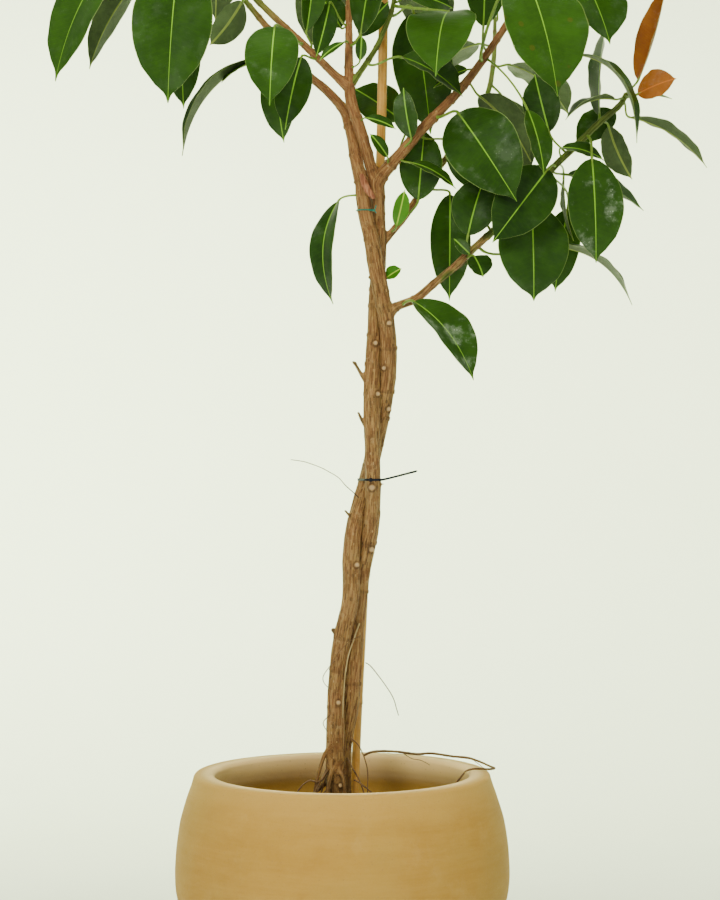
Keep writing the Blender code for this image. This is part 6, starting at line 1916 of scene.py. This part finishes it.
def leaf_piece(name, leaf, routes, slot_name, replaced, look, kind="grown"):
    """A leaf: a thin blade with a raised midrib below and a groove above, on a round stalk."""
    limb, height, base, tip, width, faces_way, bow, fold = leaf
    rng = random.Random(name)
    start, out = stalk_start(routes[limb], height, base)
    base, tip, faces_way = Vector(base), Vector(tip), Vector(faces_way).normalized()
    length = (tip - base).length
    bend = (base + tip) / 2 + faces_way * bow * length * 2
    rows = sizes().leaf_rows
    shares = [1 - (1 - row / rows) ** 1.12 for row in range(rows + 1)]
    path = [base * (1 - t) ** 2 + bend * 2 * t * (1 - t) + tip * t**2 for t in shares]
    ahead, side = carried_frames(path, len(path) // 2, faces_way)
    wave = sizes().margin_wave * rng.uniform(0.5, 1.3)
    phases = [rng.uniform(0, 6.28) for _ in range(4)]
    curl = rng.uniform(-0.03, 0.10)
    twist = rng.uniform(-0.10, 0.10)
    thick = sizes().leaf_thickness / CM
    columns = LEAF_COLUMNS
    verts, places, uvs = [], [], []
    for layer in (1, -1):
        along = 0.0
        for row, (t, point) in enumerate(zip(shares, path)):
            along += (point - path[row - 1]).length if row else 0.0
            half = blade_half_width(t, width)
            up = side[row].cross(ahead[row])
            tilt = Matrix.Rotation(twist * math.sin(math.pi * t), 3, ahead[row])
            lift = math.radians(fold) * (1 - 0.5 * spread(t, 0.75, 1.0))
            for u in columns:
                reach = abs(u)
                eased = math.sqrt(u * u + 0.012) - math.sqrt(0.012)
                ripple = math.sin(t * 13 + phases[0] + (1.7 if u > 0 else 0)) + 0.5 * math.sin(t * 29 + phases[1])
                rise = half * (math.sin(lift) * eased - curl * reach**4 + wave * ripple * reach**3)
                rise += thick * 0.5 * layer * (1.0 if reach < 0.9 else 0.55)
                beside = u * half
                if layer > 0:
                    rise -= 0.035 * math.exp(-((beside / 0.09) ** 2)) * (1 - 0.7 * t)
                else:
                    rise -= 0.13 * math.exp(-((beside / 0.11) ** 2)) * (1 - 0.75 * t)
                offset = tilt @ (side[row] * beside * math.cos(lift * 0.9) + up * rise)
                verts.append(point + offset)
                places.append((beside * CM, along * CM, reach))
                uvs.append((0.5 + u * 0.5, t))
    layer_size = len(path) * len(columns)
    faces, indices = [], []
    for row in range(rows):
        for column in range(len(columns) - 1):
            a = row * len(columns) + column
            quad = (a, a + 1, a + len(columns) + 1, a + len(columns))
            faces.append(quad)
            faces.append(tuple(index + layer_size for index in reversed(quad)))
            indices += [0, 1]
    rim = rim_faces(len(path), len(columns), layer_size)
    faces += rim
    indices += [2] * len(rim)
    verts = [lifted(*vert) for vert in verts]
    stalk_verts, stalk_faces = leaf_stalk(start, out, path, side, ahead, width)
    offset = len(verts)
    verts += stalk_verts
    faces += [tuple(index + offset for index in face) for face in stalk_faces]
    indices += [3] * len(stalk_faces)
    places += [(0.0, 0.0, 0.0)] * len(stalk_verts)
    uvs += [(0.5, 0.0)] * len(stalk_verts)
    return mesh_piece(
        name, verts, faces, leaf_materials(kind), slot_name, replaced, indices,
        {"leaf_place": places, "leaf_look": [look] * len(verts)}, uvs,
    )


def leaf_stalk(start, out, path, side, ahead, width):
    """A round stalk from the bark to the blade, running on under the midrib's start."""
    base = path[0]
    first = ahead[0]
    reach = (base - start).length / 3
    rows = []
    steps = 12
    thin = 0.10 + 0.010 * width
    for step in range(steps + 1):
        t = step / steps
        point = (
            start * (1 - t) ** 3 + (start + out * reach) * 3 * t * (1 - t) ** 2
            + (base - first * reach) * 3 * t**2 * (1 - t) + base * t**3
        )
        swell = 1 + 0.35 * math.exp(-((t / 0.12) ** 2)) + 0.22 * math.exp(-(((1 - t) / 0.1) ** 2))
        rows.append((*point, thin * swell))
    run = max(2, len(path) // 8)
    for index in range(1, run + 1):
        below = side[index].cross(ahead[index]) * -0.05
        rows.append((*(path[index] + below), thin * (1 - 0.8 * index / run)))
    verts, faces, _ = tube_parts(rows, 10)
    return verts, faces


def leaf_materials(kind):
    """The upper side, lower side, margin and stalk of a grown, fresh or young leaf."""
    label = {"grown": "Leaf", "fresh": "Fresh leaf", "young": "Young leaf"}[kind]
    return [
        material(f"{label} upper side", paint_upper(kind)),
        material(f"{label} lower side", paint_lower(kind)),
        material("Leaf margin", paint_margin),
        material("Leaf stalk", paint_stalk),
    ]


def leaf_look(name):
    """Brightness, dust and burnt spots of a leaf, from its own seed unless LOOKS names it."""
    rng = random.Random(name + " look")
    usual = (rng.uniform(0.0, 0.30), rng.uniform(0.05, 0.30), 0.0)
    return LOOKS.get(name, usual)


def make_leaves():
    routes = all_routes()
    pieces = []
    for number, leaf in enumerate(LEAVES, 1):
        node_name = f"leaf_{number:02d}"
        kind = KINDS.get(node_name, "grown")
        pieces.append(
            leaf_piece(f"blade_{number:02d}", leaf, routes, "leaf", [node_name], leaf_look(node_name), kind)
        )
    return pieces


def make_small_leaves():
    """Small and half-hidden leaves between the larger ones."""
    routes = all_routes()
    pieces = []
    for number, (kind, *leaf) in enumerate(SMALL_LEAVES, 1):
        name = f"small_leaf_{number:02d}"
        pieces.append(leaf_piece(name, leaf, routes, "leaf", [], leaf_look(name), kind))
    return pieces


def make_shoots():
    """The young twigs with their leaves and end buds."""
    routes = all_routes()
    pieces = []
    for name in SHOOTS:
        pieces.append(twig_piece(name, routes[name]))
        own = [leaf for leaf in SHOOT_LEAVES if leaf[0] == name]
        for number, leaf in enumerate(own, 1):
            piece_name = f"{name}_leaf_{number}"
            pieces.append(leaf_piece(piece_name, leaf, routes, "young_shoot", [name], leaf_look(piece_name)))
    return pieces


def twig_piece(name, route):
    """A green twig with ring scars and a pointed bud."""
    knots = limb_knots(route, len(name))

    def shape(distance, angle, radius):
        ring = min((abs(distance - knot) for knot in knots), default=1.0)
        skin = 0.04 * noise.noise(Vector((math.cos(angle) * 3, math.sin(angle) * 3, distance * 60)))
        return radius * (1 + skin) + 0.0004 * math.exp(-((ring / 0.0015) ** 2))

    verts, faces, grain = tube_parts(smooth(route, 0.3), 18, shape)
    marks = []
    for value in grain:
        ring = min((abs(value[2] - knot) for knot in knots), default=1.0)
        marks.append((0.7 * math.exp(-((ring / 0.0011) ** 2)), 0.0, 0.0))
    end, before = Vector(route[-1][:3]), Vector(route[-2][:3])
    ahead = (end - before).normalized()
    bud_rows = [
        (*(end + ahead * share * 2.4), 0.22 * max(math.sin(math.pi * (0.28 + 0.70 * share)), 0.05))
        for share in [step / 10 for step in range(11)]
    ]
    bud_verts, bud_faces, bud_grain = tube_parts(bud_rows, 14)
    marks += [(0.0, 0.0, 0.9)] * len(bud_verts)
    verts, faces, grain = joined([(verts, faces, grain), (bud_verts, bud_faces, bud_grain)])
    return mesh_piece(
        f"{name}_twig", verts, faces, [material("Green twig", paint_twig)], "young_shoot", [name],
        attributes={"grain": grain, "marks": marks},
    )


# Stage


def make_stage():
    """A pale floor that curves up behind the plant, soft studio lights and the camera."""
    profile = [(-6.0, 0.0), (1.3, 0.0)]
    profile += [(1.3 + 0.9 * math.sin(a), 0.9 - 0.9 * math.cos(a)) for a in [math.radians(6 * s) for s in range(1, 16)]]
    profile += [(2.2, 6.0)]
    verts = [(x, y, z) for y, z in profile for x in (-6.0, 6.0)]
    faces = [(2 * i, 2 * i + 1, 2 * i + 3, 2 * i + 2) for i in range(len(profile) - 1)]
    mesh = bpy.data.meshes.new("pale_floor")
    mesh.from_pydata(verts, [], faces)
    mesh.materials.append(material("Pale floor", paint_floor))
    mesh.shade_smooth()
    floor = bpy.data.objects.new("pale_floor", mesh)
    bpy.context.scene.collection.objects.link(floor)
    for name, place, target, size, power, colour in LIGHTS:
        lamp = bpy.data.lights.new(name, "AREA")
        lamp.shape = "RECTANGLE"
        lamp.size, lamp.size_y = size
        lamp.energy = power
        lamp.color = colour
        lamp.spread = math.radians(WALL_SPREAD if "wall" in name else 180)
        holder = bpy.data.objects.new(name, lamp)
        holder.location = place
        holder.rotation_euler = (Vector(target) - Vector(place)).to_track_quat("-Z", "Y").to_euler()
        holder.visible_glossy = name == "Window light"
        bpy.context.scene.collection.objects.link(holder)
    world = bpy.data.worlds.new("Pale room")
    world.use_nodes = True
    world.node_tree.nodes["Background"].inputs["Color"].default_value = (0.95, 1.0, 0.90, 1.0)
    world.node_tree.nodes["Background"].inputs["Strength"].default_value = WORLD_STRENGTH
    bpy.context.scene.world = world
    lens = bpy.data.cameras.new("Camera")
    lens.sensor_width = 36.0
    lens.lens = 85.8
    camera = bpy.data.objects.new("Camera", lens)
    camera.location = (0.024, -2.90, 0.76)
    camera.rotation_euler = (math.radians(90), 0, 0)
    bpy.context.scene.collection.objects.link(camera)
    bpy.context.scene.camera = camera
    return [floor]


# Operators and panel


class PlantBuilder:
    """What all the operators share: they run a maker and fail if it made nothing."""

    bl_options = {"REGISTER", "UNDO"}
    maker = None

    def execute(self, context):
        pieces = type(self).maker()
        if not pieces:
            raise RuntimeError(f"{self.bl_label} made no pieces")
        self.report({"INFO"}, f"{self.bl_label}: {len(pieces)} pieces")
        return {"FINISHED"}


class PLANT_OT_pot(PlantBuilder, bpy.types.Operator):
    """Build the clay pot"""

    bl_idname = "plant.pot"
    bl_label = "Clay pot"
    maker = staticmethod(make_pot)


class PLANT_OT_soil(PlantBuilder, bpy.types.Operator):
    """Build the potting soil with its chips and grit"""

    bl_idname = "plant.soil"
    bl_label = "Potting soil"
    maker = staticmethod(make_soil)


class PLANT_OT_stems(PlantBuilder, bpy.types.Operator):
    """Build the two twined stems with their limbs"""

    bl_idname = "plant.stems"
    bl_label = "Stems"
    maker = staticmethod(make_stems)


class PLANT_OT_cane(PlantBuilder, bpy.types.Operator):
    """Build the bamboo cane"""

    bl_idname = "plant.cane"
    bl_label = "Bamboo cane"
    maker = staticmethod(make_cane)


class PLANT_OT_roots(PlantBuilder, bpy.types.Operator):
    """Build the loose and clinging roots"""

    bl_idname = "plant.roots"
    bl_label = "Roots"
    maker = staticmethod(make_roots)


class PLANT_OT_ties(PlantBuilder, bpy.types.Operator):
    """Build the wire tie, the cable tie and the dry sheath"""

    bl_idname = "plant.ties"
    bl_label = "Ties"
    maker = staticmethod(make_ties)


class PLANT_OT_leaves(PlantBuilder, bpy.types.Operator):
    """Build the large leaves"""

    bl_idname = "plant.leaves"
    bl_label = "Leaves"
    maker = staticmethod(make_leaves)


class PLANT_OT_small_leaves(PlantBuilder, bpy.types.Operator):
    """Build the small and half-hidden leaves"""

    bl_idname = "plant.small_leaves"
    bl_label = "Small leaves"
    maker = staticmethod(make_small_leaves)


class PLANT_OT_shoots(PlantBuilder, bpy.types.Operator):
    """Build the young shoots of the crown"""

    bl_idname = "plant.shoots"
    bl_label = "Young shoots"
    maker = staticmethod(make_shoots)


class PLANT_OT_stage(PlantBuilder, bpy.types.Operator):
    """Set up the floor, the lights and the camera"""

    bl_idname = "plant.stage"
    bl_label = "Stage"
    maker = staticmethod(make_stage)


OPERATORS = (
    PLANT_OT_pot,
    PLANT_OT_soil,
    PLANT_OT_stems,
    PLANT_OT_cane,
    PLANT_OT_roots,
    PLANT_OT_ties,
    PLANT_OT_leaves,
    PLANT_OT_small_leaves,
    PLANT_OT_shoots,
    PLANT_OT_stage,
)


class PLANT_PT_panel(bpy.types.Panel):
    """The plant's sizes, colours and builders"""

    bl_idname = "PLANT_PT_panel"
    bl_label = "Potted rubber plant"
    bl_space_type = "VIEW_3D"
    bl_region_type = "UI"
    bl_category = "Plant"

    def draw(self, context):
        layout = self.layout
        for settings in (context.scene.plant_sizes, context.scene.plant_colours):
            column = layout.column(align=True)
            for name in type(settings).__annotations__:
                column.prop(settings, name)
        column = layout.column(align=True)
        for operator in OPERATORS:
            column.operator(operator.bl_idname)


CLASSES = (PlantSizes, PlantColours, *OPERATORS, PLANT_PT_panel)


def register():
    for cls in CLASSES:
        bpy.utils.register_class(cls)
    bpy.types.Scene.plant_sizes = bpy.props.PointerProperty(type=PlantSizes)
    bpy.types.Scene.plant_colours = bpy.props.PointerProperty(type=PlantColours)


def unregister():
    del bpy.types.Scene.plant_colours
    del bpy.types.Scene.plant_sizes
    for cls in reversed(CLASSES):
        bpy.utils.unregister_class(cls)


def main():
    register()
    for operator in OPERATORS:
        group_name, action = operator.bl_idname.split(".")
        getattr(getattr(bpy.ops, group_name), action)()


if __name__ == "__main__":
    main()
